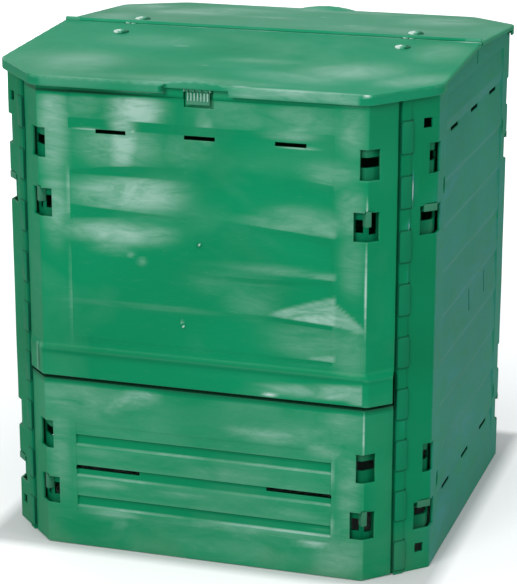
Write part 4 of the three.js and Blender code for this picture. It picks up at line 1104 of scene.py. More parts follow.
# %% Removal flaps
flap_parts = [
    sheet(flap_columns, flap_rows, flap_relief, flap_holes, wall_points, WALL, flap_light_and_wear),
    # The tongue is painted nearly black, as the shade in the gap under the hem.
    sheet(tongue_columns, tongue_rows, lambda place, height: TONGUE_SETBACK + 0 * place, [], wall_points,
          bloom=lambda place, height: -0.95 + 0 * place),
]
for end, angle in (("front", 0), ("rear", math.pi)):
    piece = make_piece(f"{end}_flap_moulding", flap_parts, angle, panel_green)
    dress(piece, f"{end}_flap", "panel", f"{end}_removal_flap")

# %% [markdown]
# A side wall is one moulding from the ground to the roof. Its top edge follows the two slopes of the
# roof, so the rows above the boards are stretched to end on that line. It has nine boards, two rows of
# vents, two upright slits, small lens-shaped hollows beside the windows, and a strip along each flange
# edge that stands a little proud. A narrow slot is let into the flange beside each knuckle.

# %% Sizes of a side wall
SIDE_FLANGE_END = FLANGE_HALF + 4
STRIP_WIDTH, STRIP_PROUD = 15.5, 2.5
SIDE_FIELD_BOTTOM = 62
SIDE_LOWEST_LAP = 113
KNUCKLE_TOP = EAVE_TOP - 43.6
KNUCKLE_HEIGHT = 52
KNUCKLE_COUNT = 9
KNUCKLE_PITCH = (KNUCKLE_TOP - KNUCKLE_HEIGHT - 6.3) / (KNUCKLE_COUNT - 1)
SIDE_PITCH = (BOARD_TOP - SIDE_LOWEST_LAP) / 8
side_laps = [(FIRST_LAP, 18)] + [(BOARD_TOP - number * SIDE_PITCH, 8) for number in range(1, 9)]
SIDE_FADE = [
    (0.9, 1.0, 0.9, 0.8, 0.75, 0.8, 0.9, 1.0, 0.9), (0.7, 0.8, 1.0, 1.0, 0.8, 0.7, 0.8, 0.9, 1.0),
    (1.0, 0.9, 0.8, 0.7, 0.6, 0.6, 0.7, 0.8, 0.8), (0.8, 1.0, 0.8, 0.6, 0.6, 0.7, 0.9, 1.0, 1.0),
    (0.7, 0.8, 0.8, 0.7, 0.6, 0.5, 0.6, 0.8, 0.9), (0.9, 1.0, 1.0, 0.8, 0.7, 0.6, 0.7, 0.7, 0.8),
    (0.8, 0.7, 0.6, 0.5, 0.6, 0.8, 0.9, 1.0, 1.0), (1.0, 1.0, 1.0, 1.0, 1.0, 1.0, 1.0, 1.0, 1.0),
]
side_end = BEND + SIDE_FLANGE_END
strip_start = side_end - STRIP_WIDTH
DIMPLE_PLACE, DIMPLE_ABOVE_WINDOW = BEND - 45, 6.5
DIMPLE_HALF_WIDTH, DIMPLE_HALF_HEIGHT, DIMPLE_DEPTH = 6, 14.5, 3
KNUCKLE_SLOT = (side_end - 21.1, side_end - 19.5)
SLOT_FOOT, SLOT_HEIGHT, SLOT_DEPTH = 5, 26, 2.5
STRETCH_FROM = FIELD_TOP + 2


def knuckle_bottom(number):
    """Height of a knuckle's lower edge, counted from the top one."""
    return KNUCKLE_TOP - KNUCKLE_HEIGHT - number * KNUCKLE_PITCH


print("lowest knuckle:", round(knuckle_bottom(KNUCKLE_COUNT - 1), 1), "mm above the ground")

# %% The shape of a side wall
def dimple(place, height, level):
    """The lens-shaped hollow above a hook window, 1 at its deepest."""
    across = (np.abs(place) - DIMPLE_PLACE) / DIMPLE_HALF_WIDTH
    along = (height - (level + HOOK_WINDOW + DIMPLE_ABOVE_WINDOW + DIMPLE_HALF_HEIGHT)) / DIMPLE_HALF_HEIGHT
    return np.sqrt(np.clip(1 - across ** 2 - along ** 2, 0, 1))


def side_relief(place, height):
    """How deep the face lies: boards, rebates, hollows, and the strips with their slots."""
    laps = lap_profile(side_laps, LAP_DEPTH, SIDE_FIELD_BOTTOM)
    strength = fade_of_boards(place, height, side_laps, SIDE_FADE)
    boards = MEAN_DEPTH + (softened(height, laps) - MEAN_DEPTH) * strength
    depth = let_in(place, height, boards, FIELD_TOP, SIDE_FIELD_BOTTOM)
    for level in (LOWER_HOOK, UPPER_HOOK):
        depth = depth + hook_rebates(place, height, level, SIDE_TONGUE)
        depth = depth + DIMPLE_DEPTH * dimple(place, height, level)
    size = np.abs(place)
    strip = ease(size, strip_start - 0.5, strip_start + 0.3)
    depth = depth - STRIP_PROUD * strip
    for number in range(KNUCKLE_COUNT):
        low = knuckle_bottom(number) + SLOT_FOOT
        depth = depth + sunk(size, height, *KNUCKLE_SLOT, low, low + SLOT_HEIGHT, SLOT_DEPTH, 0.3)
    return depth + slow_waves(place, height, 0.7, 21) * (1 - strip)


def side_points(place, depth, height):
    """The rows above the boards are stretched up to the roof's two slopes."""
    flat = wall_points(place, depth, 0)
    top = roof_height(np.abs(flat[..., 0])) - LID_THICKNESS - SEAT
    share = np.clip((height - STRETCH_FROM) / (EAVE_TOP - STRETCH_FROM), 0, 1)
    flat[..., 2] = np.where(height > STRETCH_FROM, STRETCH_FROM + share * (top - STRETCH_FROM), height)
    return flat


ridge_point = side_points(np.zeros(1), 0, np.full(1, EAVE_TOP))[0, 2]
print(f"a side wall is {ridge_point:.1f} mm high at the ridge")

# %% [markdown]
# The holes of a side wall are bent windows at two levels, vents under the first and the lowest lap, two
# upright slits, square holes near both ends of each flange, and a notch for the bar at the ridge.

# %% The net of a side wall
LOW_VENT_DROP = 8.7
SLIT_TOP, SLIT_WIDTH, SLIT_HEIGHT, SLIT_SHARES = SEAM_HEIGHT + 98, 4, 38, (-0.02, 0.53)
PEEPS, PEEP_START, PEEP_SIZE = (31, EAVE_TOP - 58), BEND + 12.6, 15
BAR_NOTCH_HALF, BAR_NOTCH_HEIGHT = 3.5, 14
DIMPLE_COLUMNS = (-6, -5.4, -4, -2, 0, 2, 4, 5.4, 6)
DIMPLE_ROWS = (0, 1.5, 4, 8, 14.5, 21, 25, 27.5, 29)
KNUCKLE_ROWS = (-2.2, -1, 1, 2.2, 4.7, 5, 31, 31.3, 49.8, 51, 53, 54.2)
side_holes = bend_windows(LOWER_HOOK, *SIDE_WINDOWS) + bend_windows(UPPER_HOOK, *SIDE_WINDOWS)
side_holes += vent_row(BOARD_TOP - VENT_DROP, VENT_LENGTH, VENT_HEIGHT, VENT_SHARES)
side_holes += vent_row(SIDE_LOWEST_LAP - LOW_VENT_DROP, VENT_LENGTH, VENT_HEIGHT, VENT_SHARES)
side_holes += vent_row(SLIT_TOP, SLIT_WIDTH, SLIT_HEIGHT, SLIT_SHARES)
for height in PEEPS:
    side_holes += [(PEEP_START, PEEP_START + PEEP_SIZE, height, height + PEEP_SIZE),
                   (-PEEP_START - PEEP_SIZE, -PEEP_START, height, height + PEEP_SIZE)]
side_holes.append((-BAR_NOTCH_HALF, BAR_NOTCH_HALF, EAVE_TOP - BAR_NOTCH_HEIGHT, EAVE_TOP))
side_columns = net_lines(
    -side_end, side_end, 12, [hole[:2] for hole in side_holes],
    both_sides(*RAMP_PLACES, *BEND_PLACES, *(DIMPLE_PLACE + step for step in DIMPLE_COLUMNS),
               strip_start - 0.5, strip_start + 0.3, strip_start - 2, strip_start + 1.8,
               KNUCKLE_SLOT[0] - 2.6, KNUCKLE_SLOT[0] - 1.6, KNUCKLE_SLOT[0] - 0.8,
               KNUCKLE_SLOT[0] - 0.3, *KNUCKLE_SLOT, KNUCKLE_SLOT[1] + 0.3))
side_rows = net_lines(
    0, EAVE_TOP, 13, [hole[2:] for hole in side_holes],
    lap_lines(side_laps) + [FIELD_TOP, FIELD_TOP - 2, SIDE_FIELD_BOTTOM, SIDE_FIELD_BOTTOM + 2, STRETCH_FROM]
    + [level + HOOK_WINDOW + DIMPLE_ABOVE_WINDOW + step
       for level in (LOWER_HOOK, UPPER_HOOK) for step in DIMPLE_ROWS]
    + [knuckle_bottom(number) + step for number in range(KNUCKLE_COUNT) for step in KNUCKLE_ROWS])
print("net of a side wall:", len(side_columns), "columns,", len(side_rows), "rows,", len(side_holes), "holes")

# %% [markdown]
# A side wall has an even painted haze on its flat, and there the steps between the boards are painted
# paler, as a highlight. The flanges and strips are clear and get a little painted shade, and painted
# highlights run beside the corner seams. The hollows, the slots and the rings round the knuckles lie in
# painted shade.

# %% Painted haze and shade on a side wall
strip_edge = strip_start + 0.1
SIDE_HAZE_AND_GLINTS = [
    (1 - KNUCKLE_SLOT[0], 640, 1.3, 25, 0, 2.0), (9 - side_end, 270, 5, 34, 0, 0.8),
    (-strip_edge, 583, 1.8, 9, 0, 1.8), (-strip_edge, 500, 1.6, 16, 0, 1.3),
    (side_end - 8, 600, 3, 12, 0, 1.6), (side_end - 5, 432, 2, 6, 0, 1.6),
    (-side_end + 9, 536, 5, 14, 0, 0.8), (-150, 620, 130, 40, 0.5, 0.55), (60, 420, 160, 60, 0.4, 0.55),
    (-40, 160, 170, 60, 0, 0.6), (-180, 60, 100, 40, 0, 0.6),
]
SIDE_HAZE, STEP_HAZE, TOP_CLEARING = 0.4, 0.2, 0.25
SIDE_FLANGE_SHADE, STRIP_SHADE = 0.06, 0.07
HOLLOW_SHADE, RING_SHADE, RING_HALF = 0.9, 0.6, 1.8


def side_painted_light(place, height):
    """An even painted haze on the flat of a side wall, painted paler steps, and flanges and strips in painted
    shade.
    """
    size = np.abs(place)
    flat = 1 - ease(size, BEND - 3, BEND + 2)
    steps = on_steps(place, height, side_laps, SIDE_FADE)
    haze = flat * (SIDE_HAZE * (1 - TOP_CLEARING * ease(height, 500, 760)) + STEP_HAZE * steps)
    haze = np.maximum(haze, patches_of(SIDE_HAZE_AND_GLINTS)(place, height))
    shade = SIDE_FLANGE_SHADE * on_flange(place) + STRIP_SHADE * ease(size, strip_start, strip_start + 1)
    for level in (LOWER_HOOK, UPPER_HOOK):
        shade = np.maximum(shade, HOLLOW_SHADE * dimple(place, height, level))
    for number in range(KNUCKLE_COUNT):
        bottom = knuckle_bottom(number)
        low = bottom + SLOT_FOOT
        slot = sunk(size, height, *KNUCKLE_SLOT, low, low + SLOT_HEIGHT, HOLLOW_SHADE, 0.3)
        shade = np.maximum(shade, slot)
        for end in (bottom, bottom + KNUCKLE_HEIGHT):
            ring = np.exp(-(((height - end) / RING_HALF) ** 4)) * (size > KNUCKLE_SLOT[0])
            shade = np.maximum(shade, RING_SHADE * ring)
    return marked(haze, shade)


print("marks on a side wall:", len(SIDE_HAZE_AND_GLINTS), "and the shade of", KNUCKLE_COUNT, "knuckles on each strip")

# %% [markdown]
# A second, plain strip runs on behind each flange edge, so that no light comes through the corner seam. It
# is notched where the flap's tongue slides.

# %% Side walls
LAP_START, LAP_END, LAP_PLAY = 8, 18, 0.5
NOTCH_BELOW, NOTCH_ABOVE = 16, 45
side_parts = [sheet(side_columns, side_rows, side_relief, side_holes, side_points, WALL, side_painted_light)]
for side in (-1, 1):
    ends = sorted((side * (side_end - LAP_START), side * (side_end + LAP_END)))
    notch = (*sorted((side * side_end, side * (side_end + LAP_END + 1))),
             SEAM_HEIGHT - NOTCH_BELOW, SEAM_HEIGHT + NOTCH_ABOVE)
    lap_columns = net_lines(*ends, 9, [notch[:2]], [])
    lap_rows = net_lines(0, EAVE_TOP, 40, [notch[2:]], [STRETCH_FROM])
    side_parts.append(sheet(lap_columns, lap_rows, lambda place, height: WALL + LAP_PLAY + 0 * place,
                            [notch], side_points, 4))
for hand, angle in (("right", math.pi / 2), ("left", -math.pi / 2)):
    piece = make_piece(f"{hand}_wall_moulding", side_parts, angle, side_green)
    dress(piece, "bin", "side", f"{hand}_side_wall")

# %% [markdown]
# What repeats by a rule is a job for Geometry Nodes. The trees here are short, so a small writer makes
# them: it adds a node, joins its inputs by name, and names every size as a setting of the tree. At the end
# the copies are made real, so that the result is a plain mesh.

# %% From modifiers to a plain mesh
def baked(carrier):
    """Turns an object with modifiers into a plain, smooth mesh."""
    evaluated = carrier.evaluated_get(bpy.context.evaluated_depsgraph_get())
    finished = bpy.data.meshes.new_from_object(evaluated)
    carrier.modifiers.clear()
    carrier.data = finished
    finished.shade_smooth()
    finished.set_sharp_from_angle(angle=SHARP_ANGLE)
    print(f"{carrier.name}: {len(finished.polygons)} faces")
    return finished

# %% A writer for geometry trees
class Tree:
    """A geometry tree that is written from its first node to its last."""

    def __init__(self, name):
        self.group = bpy.data.node_groups.new(name, "GeometryNodeTree")
        self.group.interface.new_socket("Geometry", in_out="OUTPUT", socket_type="NodeSocketGeometry")
        self.inputs = self.group.nodes.new("NodeGroupInput")
        self.output = self.group.nodes.new("NodeGroupOutput")
        self.settings = {}

    def size(self, name, value, kind="NodeSocketFloat"):
        socket = self.group.interface.new_socket(name, in_out="INPUT", socket_type=kind)
        socket.default_value = value
        self.settings[socket.identifier] = value
        return self.inputs.outputs[name]

    def node(self, kind, settings=None, **inputs):
        made = self.group.nodes.new(kind)
        for key, value in (settings or {}).items():
            setattr(made, key, value)
        for key, value in inputs.items():
            fill(self.group, self.socket(made, key.replace("_", " ")), value)
        return made

    def socket(self, made, name):
        usable = [socket for socket in made.inputs if socket.enabled]
        return next(socket for socket in usable if name in (socket.name, socket.identifier))

    def maths(self, operation, first, second):
        return calculate(self.group, operation, first, second)

    def vector(self, x, y, z):
        return self.node("ShaderNodeCombineXYZ", X=x, Y=y, Z=z).outputs[0]

    def finish(self, geometry, material):
        real = self.node("GeometryNodeRealizeInstances", Geometry=geometry)
        made = self.node("GeometryNodeSetMaterial", Geometry=real.outputs[0])
        made.inputs["Material"].default_value = material
        self.group.links.new(made.outputs[0], self.output.inputs["Geometry"])

    def mesh(self, name):
        """Runs the tree and returns its result as an object with a plain mesh."""
        carrier = bpy.data.objects.new(name, bpy.data.meshes.new(name))
        bpy.context.scene.collection.objects.link(carrier)
        modifier = carrier.modifiers.new("nodes", "NODES")
        modifier.node_group = self.group
        for identifier, value in self.settings.items():
            modifier[identifier] = value
        baked(carrier)
        return carrier

# %% [markdown]
# A knuckle and a latch rib are both flat pads: a rounded outline, filled, extruded, and then extruded once
# more with a smaller face, which gives the chamfer round the front.

# %% A padded plate
OUTLINE_POINTS = 7
WELD = 0.01 * METRES


def padded_plate(tree, width, height, corner, depth, chamfer):
    """A plate with round corners and a chamfered face. It lies in X and Y and faces +Z."""
    frame_curve = tree.node("GeometryNodeCurvePrimitiveQuadrilateral", Width=width, Height=height)
    rounded = tree.node("GeometryNodeFilletCurve", Curve=frame_curve.outputs[0], Radius=corner,
                        Limit_Radius=True)
    rounded.mode = "POLY"
    rounded.inputs["Count"].default_value = OUTLINE_POINTS
    filled = tree.node("GeometryNodeFillCurve", Curve=rounded.outputs[0])
    filled.mode = "NGONS"
    flat = filled.outputs[0]
    block = tree.node("GeometryNodeExtrudeMesh", Mesh=flat,
                      Offset_Scale=tree.maths("SUBTRACT", depth, chamfer))
    up = tree.vector(0.0, 0.0, 1.0)
    edge = tree.node("GeometryNodeExtrudeMesh", Mesh=block.outputs["Mesh"], Selection=block.outputs["Top"],
                     Offset=up, Offset_Scale=chamfer)
    shrink = tree.maths("SUBTRACT", 1.0, tree.maths("DIVIDE", tree.maths("MULTIPLY", chamfer, 2.0), width))
    face = tree.node("GeometryNodeScaleElements", Geometry=edge.outputs["Mesh"],
                     Selection=edge.outputs["Top"], Scale=shrink)
    back = tree.node("GeometryNodeFlipFaces", Mesh=flat)
    both = tree.node("GeometryNodeJoinGeometry")
    tree.group.links.new(face.outputs[0], both.inputs[0])
    tree.group.links.new(back.outputs[0], both.inputs[0])
    return tree.node("GeometryNodeMergeByDistance", Geometry=both.outputs[0], Distance=WELD).outputs[0]


print(f"each corner of a plate has {OUTLINE_POINTS} points")

# %% [markdown]
# Knuckles cross each corner seam at a steady pitch, as on a piano hinge. One pad is set out in a column,
# and the column is set out at the four corners, a little to one side of the corner's middle.

# %% Knuckles of the four corner seams, by Geometry Nodes
seams = Tree("seam_knuckles")
pad_width = seams.size("Pad Width", 21 * METRES)
pad_height = seams.size("Pad Height", KNUCKLE_HEIGHT * METRES)
pad_corner = seams.size("Corner Radius", 5 * METRES)
pad_depth = seams.size("Pad Depth", 5.5 * METRES)
pad_chamfer = seams.size("Chamfer", 0.9 * METRES)
pad_proud = seams.size("Proud", 3 * METRES)
pad_shift = seams.size("Shift From Corner Middle", 5.5 * METRES)
corner_distance = seams.size("Corner Distance", (2 * BODY_HALF - CORNER_LEG) / math.sqrt(2) * METRES)
count = seams.size("Knuckles", KNUCKLE_COUNT, "NodeSocketInt")
pitch = seams.size("Pitch", KNUCKLE_PITCH * METRES)
lowest = seams.size("Lowest Middle", (knuckle_bottom(KNUCKLE_COUNT - 1) + KNUCKLE_HEIGHT / 2) * METRES)

plate = padded_plate(seams, pad_width, pad_height, pad_corner, pad_depth, pad_chamfer)
standing = seams.node("GeometryNodeTransform", Geometry=plate, Rotation=(QUARTER, 0.0, QUARTER))
upright = seams.vector(0.0, 0.0, pitch)
column = seams.node("GeometryNodeMeshLine", {"mode": "OFFSET"}, Count=count,
                    Start_Location=seams.vector(0.0, 0.0, lowest), Offset=upright)
pads = seams.node("GeometryNodeInstanceOnPoints", Points=column.outputs[0], Instance=standing.outputs[0])
corner_points = seams.node("GeometryNodeMeshLine", {"mode": "OFFSET"}, Count=4, Offset=(0.0, 0.0, 0.0))
index = seams.node("GeometryNodeInputIndex").outputs[0]
angle = seams.maths("ADD", seams.maths("MULTIPLY", index, QUARTER), QUARTER / 2)
columns = seams.node("GeometryNodeInstanceOnPoints", Points=corner_points.outputs[0],
                     Instance=pads.outputs[0], Rotation=seams.vector(0.0, 0.0, angle))
odd = seams.maths("MODULO", index, 2.0)
sign = seams.maths("SUBTRACT", seams.maths("MULTIPLY", odd, 2.0), 1.0)
outwards = seams.maths("SUBTRACT", seams.maths("ADD", corner_distance, pad_proud), pad_depth)
moved = seams.node("GeometryNodeTranslateInstances", Instances=columns.outputs[0],
                   Translation=seams.vector(outwards, seams.maths("MULTIPLY", sign, pad_shift), 0.0))
seams.finish(moved.outputs[0], side_green)
knuckles = seams.mesh("seam_knuckles")
# The faces of the pads get painted shade about as dark as the strips, and their flanks deep painted shade.
outward = np.abs(points_of(knuckles.data)[:, :2]).sum(axis=1) / math.sqrt(2)
write_light_and_wear(knuckles.data, np.where(outward > outward.max() - 0.2, -0.12, -0.6))
dress(knuckles, "bin", "side")

# %% [markdown]
# Each half of the roof is one thin tray turned upside down: a sloping top with cut corners and a skirt
# round three sides. It could be bevelled from a block, but a net again gives rounder edges and lets the
# top sag and ripple a little. Its rows run along the ridge. Each is as wide as the roof is at that
# distance, so the net follows the cut corners.

# %% Plan of a roof half
LID_CORNER_LEG = 92.7
LID_CORNER_ROUND = 16
LID_INNER_EDGE = 6
SKIRT, SIDE_SKIRT = 16, 7
SIDE_SKIRT_END = LID_HALF_DEPTH - LID_CORNER_LEG - 26
LID_EDGE_ROUND, RIDGE_EDGE_ROUND = 2.2, 1.0
CORNER_POINTS = 12
RIM_PITCH = 2.0
CLIP_SPACING = LID_HALF_WIDTH - 122.8


def rounded_corner(before, corner, after, tangent):
    """Points of the soft curve that takes the place of a corner."""
    before, corner, after = (np.array(point, float) for point in (before, corner, after))
    start = corner + (before - corner) / np.linalg.norm(before - corner) * tangent
    end = corner + (after - corner) / np.linalg.norm(after - corner) * tangent
    share = np.linspace(0, 1, CORNER_POINTS)[:, None]
    return (1 - share) ** 2 * start + 2 * share * (1 - share) * corner + share ** 2 * end


side_corner = (LID_HALF_WIDTH, LID_HALF_DEPTH - LID_CORNER_LEG)
end_corner = (LID_HALF_WIDTH - LID_CORNER_LEG, LID_HALF_DEPTH)
rim_right = np.concatenate([
    [(LID_HALF_WIDTH, LID_INNER_EDGE)],
    rounded_corner((LID_HALF_WIDTH, 0), side_corner, end_corner, LID_CORNER_ROUND),
    rounded_corner(side_corner, end_corner, (0, LID_HALF_DEPTH), LID_CORNER_ROUND),
])
front_row_half = rim_right[-1, 0]


print(f"front edge of a roof half is straight for {2 * front_row_half:.1f} mm")

# %% Distance from the rim of the roof
def dense(path):
    """Points along a path, a steady pitch apart."""
    found = []
    for start, end in zip(path[:-1], path[1:]):
        steps = max(1, int(np.linalg.norm(end - start) / RIM_PITCH))
        found += [start + (end - start) * step / steps for step in range(steps)]
    return np.array(found + [path[-1]])


rim_line = dense(np.concatenate([rim_right, rim_right[::-1] * (-1, 1)]))
rim_normals = np.gradient(rim_line, axis=0)
rim_normals = np.stack([-rim_normals[:, 1], rim_normals[:, 0]], axis=-1)
rim_normals /= np.linalg.norm(rim_normals, axis=1)[:, None]
if rim_normals[0, 0] > 0:
    rim_normals = -rim_normals


def nearest_rim(x, distance):
    """Distance to the roof's rim and the inward direction there."""
    places = np.stack([x.ravel(), distance.ravel()], axis=-1)
    gaps = np.linalg.norm(places[:, None, :] - rim_line[None], axis=-1)
    nearest = gaps.argmin(1)
    return gaps.min(1).reshape(x.shape), rim_normals[nearest].reshape(*x.shape, 2)


print("points on the rim:", len(rim_line))

# %% [markdown]
# The net of the roof is closest at the rim, where the edge rolls over, and at the ridge. Beside the ridge
# it is pushed back in two places, where the hinge clips stand.

# %% Net of a roof half
GRIP_HALF, GRIP_RISE, GRIP_DEPTH, GRIP_SKIRT = 53, 7, 16, 7
EDGE_STEPS = (0, 0.35, 1.0, 2.2, 4, 7, 11)
OUTER_SHARES = [0.16, 0.38, 0.5, 0.62, 0.74, 0.87]
FRONT_STEPS = (0, 0.3, 0.9, 1.8, 3, 4.5, 6.5, 9, 12, 14, 16, 17.5, 20)
RIDGE_STEPS = (0, 0.4, 1.2, 3, 6, 10, 16)
CORNER_STEPS = (0, 6, 12, 18, 24, 30, 36)
MIDDLE_ROWS = list(np.linspace(31, 344, 34))
FIXED_HALF = 225
NOTCH_HALF, NOTCH_DEPTH, NOTCH_FADE = 12, 3.5, 14


def roof_columns(half_width):
    """Places across one row: steady in the middle, gathered towards the rim."""
    grip_ends = both_sides(GRIP_HALF - 0.6, GRIP_HALF, GRIP_HALF + 0.6)
    middle = net_lines(-FIXED_HALF, FIXED_HALF, 9, [], grip_ends)
    span = LID_HALF_WIDTH - EDGE_STEPS[-1] - FIXED_HALF
    notch_shares = [(CLIP_SPACING + sign * NOTCH_HALF + step - FIXED_HALF) / span
                    for sign in (-1, 1) for step in (-0.3, 0.3)]
    shares = np.array(sorted(notch_shares + OUTER_SHARES))
    outer = FIXED_HALF + shares * (half_width - EDGE_STEPS[-1] - FIXED_HALF)
    edge = half_width - np.array(EDGE_STEPS[::-1])
    right = np.concatenate([outer, edge])
    return np.concatenate([-right[::-1], middle, right])


near_front = [LID_HALF_DEPTH - step for step in FRONT_STEPS]
near_ridge = [LID_INNER_EDGE + step for step in RIDGE_STEPS]
corner_rows = [rim_right[1:CORNER_POINTS + 1, 1].min() + step for step in CORNER_STEPS]
skirt_turn = [SIDE_SKIRT_END - 0.3, SIDE_SKIRT_END + 0.3]
roof_rows = np.array(near_ridge + near_front + corner_rows + skirt_turn + MIDDLE_ROWS)
roof_rows = np.unique(np.round(roof_rows, 2))
half_widths = np.interp(roof_rows, rim_right[:, 1], rim_right[:, 0])
half_widths[-1] = front_row_half
roof_x = np.stack([roof_columns(half) for half in half_widths], axis=1)
roof_d = np.broadcast_to(roof_rows, roof_x.shape).copy()
notch = sum(((np.abs(roof_x - sign * CLIP_SPACING) < NOTCH_HALF) * NOTCH_DEPTH) for sign in (-1, 1))
roof_d += notch * (1 - np.clip((roof_rows - LID_INNER_EDGE) / NOTCH_FADE, 0, 1))
rim_gap, rim_inward = nearest_rim(roof_x, roof_d)
print("rows of a roof half:", len(roof_rows))

# %% Upper surface of a roof half
SAG, SAG_PLACE, SAG_RUN = 0.8, 190, 90


def grip_rise(x, distance):
    """The arch of the grip in the middle of the eave."""
    arch = GRIP_RISE * np.clip(1 - (x / GRIP_HALF) ** 2, 0, 1)
    return arch * np.clip((distance - LID_HALF_DEPTH + GRIP_DEPTH) / GRIP_DEPTH, 0, 1)


def edge_roll(gap, radius):
    """How far a rounded edge has fallen at a distance from the rim."""
    rolled = np.clip(radius - gap, 0, radius)
    return radius - np.sqrt(radius ** 2 - rolled ** 2)


def roof_top(x, distance, gap):
    """Height of the roof's upper surface: slope, grip, rounded edges and a shallow unevenness."""
    ridge_gap = distance - LID_INNER_EDGE
    roll = edge_roll(gap, LID_EDGE_ROUND) + edge_roll(ridge_gap, RIDGE_EDGE_ROUND)
    inside = ease(gap, 6, 60) * ease(ridge_gap, 4, 40)
    hollow = SAG * np.exp(-((distance - SAG_PLACE) / SAG_RUN) ** 2)
    sag = inside * (slow_waves(x, distance * 1.6, 1.4, 33) + hollow)
    return roof_height(distance) + grip_rise(x, distance) - roll - sag


upper = np.stack([roof_x, -roof_d, roof_top(roof_x, roof_d, rim_gap)], axis=-1)
print("net of a roof half:", upper.shape[:2])

# %% [markdown]
# Underneath, the tray is one wall thickness lower. Its skirt hangs down along three sides in a row of rings,
# which run down the outside, round the foot and up again inside. The foot is higher along the sides and
# under the grip.

# %% Underside and skirt of a roof half
UNDER_PLAY = 0.4
# How far down the skirt each ring lies, how far in, and how far it is lifted.
RINGS = ((0.33, 0, 0), (0.7, 0, 0), (1, 0, 0.9), (1, 0.3, 0.3), (1, 0.9, 0), (1, 2.6, 0), (1, 3.1, 0.6),
         (0.6, 3.3, 0), (0.2, 3.6, 0))
rows_count, columns_count = len(roof_rows), roof_x.shape[0]
numbers = np.arange(columns_count * rows_count).reshape(columns_count, rows_count)
border = list(numbers[0, :]) + list(numbers[1:-1, -1]) + list(numbers[-1, ::-1])
flat_points = upper.reshape(-1, 3)
border_points = flat_points[border]
border_inward = rim_inward.reshape(-1, 2)[border]
straight = roof_rows[:-1, None] < side_corner[1] - LID_CORNER_ROUND
border_inward[: rows_count - 1] = np.where(straight, (1, 0), border_inward[: rows_count - 1])
under_shift = LID_THICKNESS * (1 - ease(rim_gap, 0, 9))[..., None] * rim_inward
under = upper.copy()
under[..., 0] += under_shift[..., 0]
under[..., 1] -= under_shift[..., 1]
under[..., 2] = roof_height(np.abs(under[..., 1])) - LID_THICKNESS - UNDER_PLAY
under[..., 2] += grip_rise(roof_x, roof_d)


def skirt_bottom(x, y):
    """Height of the skirt's foot at a place on the rim."""
    in_grip = 1 - ease(np.abs(x), GRIP_HALF - 0.6, GRIP_HALF + 0.6)
    in_grip = in_grip * (np.abs(y) > LID_HALF_DEPTH - 2)
    at_side = (np.abs(x) > LID_HALF_WIDTH - 1) * (1 - ease(np.abs(y), *skirt_turn))
    deep = roof_height(np.abs(y)) - SKIRT + (SKIRT - SIDE_SKIRT) * at_side
    return deep + in_grip * (roof_height(LID_HALF_DEPTH) - GRIP_SKIRT - deep)


bottoms = skirt_bottom(border_points[:, 0], border_points[:, 1])
rings = []
for share, inset, lift in RINGS:
    start = border_points[:, 2] if inset < 2 else under.reshape(-1, 3)[border][:, 2]
    ring = border_points.copy()
    ring[:, 0] += border_inward[:, 0] * inset
    ring[:, 1] -= border_inward[:, 1] * inset
    ring[:, 2] = start + (bottoms - start) * share + lift
    rings.append(ring)
print("rings of a skirt:", len(rings), "with", len(border), "points each")

# %% Faces of a roof half
top_faces, under_faces = [], []
under_start = flat_points.shape[0]
ring_start = 2 * under_start
for i in range(columns_count - 1):
    for j in range(rows_count - 1):
        a, b, c, d = numbers[i, j], numbers[i, j + 1], numbers[i + 1, j + 1], numbers[i + 1, j]
        top_faces.append((a, b, c, d))
        under_faces.append((under_start + d, under_start + c, under_start + b, under_start + a))
ring_loops = [[ring_start + number * len(border) + place for place in range(len(border))]
              for number in range(len(rings))]
loops = [border] + ring_loops + [[under_start + index for index in border]]
skirt_faces = []
for first, second in zip(loops[:-1], loops[1:]):
    for place in range(len(border) - 1):
        skirt_faces.append((first[place + 1], first[place], second[place], second[place + 1]))
left_cap = [loop[0] for loop in loops]
right_cap = [loop[-1] for loop in reversed(loops)]
ridge_faces = [(after, under_start + after, under_start + before, before)
               for before, after in zip(numbers[:-1, 0], numbers[1:, 0])]
roof_faces = [list(face) for face in top_faces + under_faces + skirt_faces + ridge_faces]
roof_faces += [left_cap, right_cap]
print("faces of a roof half:", len(roof_faces))

# %% [markdown]
# The roof carries painted haze in broad, soft patches, and its front edge is painted pale to the right of
# the grip, as a highlight with scuffs. The last rows of the list are specks and painted bright points. The
# skirt of the front goes on with the colour of that edge and fades towards its foot, the cut corners and
# the sides get painted shade, and a painted shadow line marks the left end of the grip. The top of the
# rear half gets an even painted haze as well, because it looks the paler one of the two.

# %% Painted haze and shade on the roof
LID_PAINTED_HAZE_AND_RUBS = [
    (206, 235, 80, 60, -0.4, 0.5), (318, 268, 46, 42, -0.6, 0.5), (138, 290, 80, 34, 0.3, 0.36),
    (-20, 345, 160, 20, 0.1, 0.3), (-234, 270, 70, 60, 0, 0.34), (-170, 110, 90, 40, 0, 0.2),
    (60, 200, 70, 14, -0.8, 0.24), (312, 80, 40, 60, 0, 0.26), (-60, 371.5, 330, 2.6, 0, 0.4),
    (165, 370, 110, 5, 0, 0.9), (70, 366, 16, 5, 0, 0.9), (-70, 368, 50, 6, 0, 0.5),
    (0, 8, 380, 2.2, 0, 0.6), (345, 8, 22, 3, 0, 1.9), (272, 371, 7, 3, 0, 1.9), (-4, 174, 2.2, 2.2, 0, 2),
    (5, 210, 3, 2, 0, 1.4), (36, 149, 3, 1.6, 0, 0.9), (-110, 134, 16, 2, 0.5, 0.6),
    (-30, 250, 5, 1.5, 0, 0.8), (110, 120, 12, 1.4, 0.4, 0.7),
]
# REAR_HAZE is an even painted haze on the top of the rear half.
REAR_HAZE = 0.16
SKIRT_FADE = (1, 0.9, 0.5, 0.2, 0)
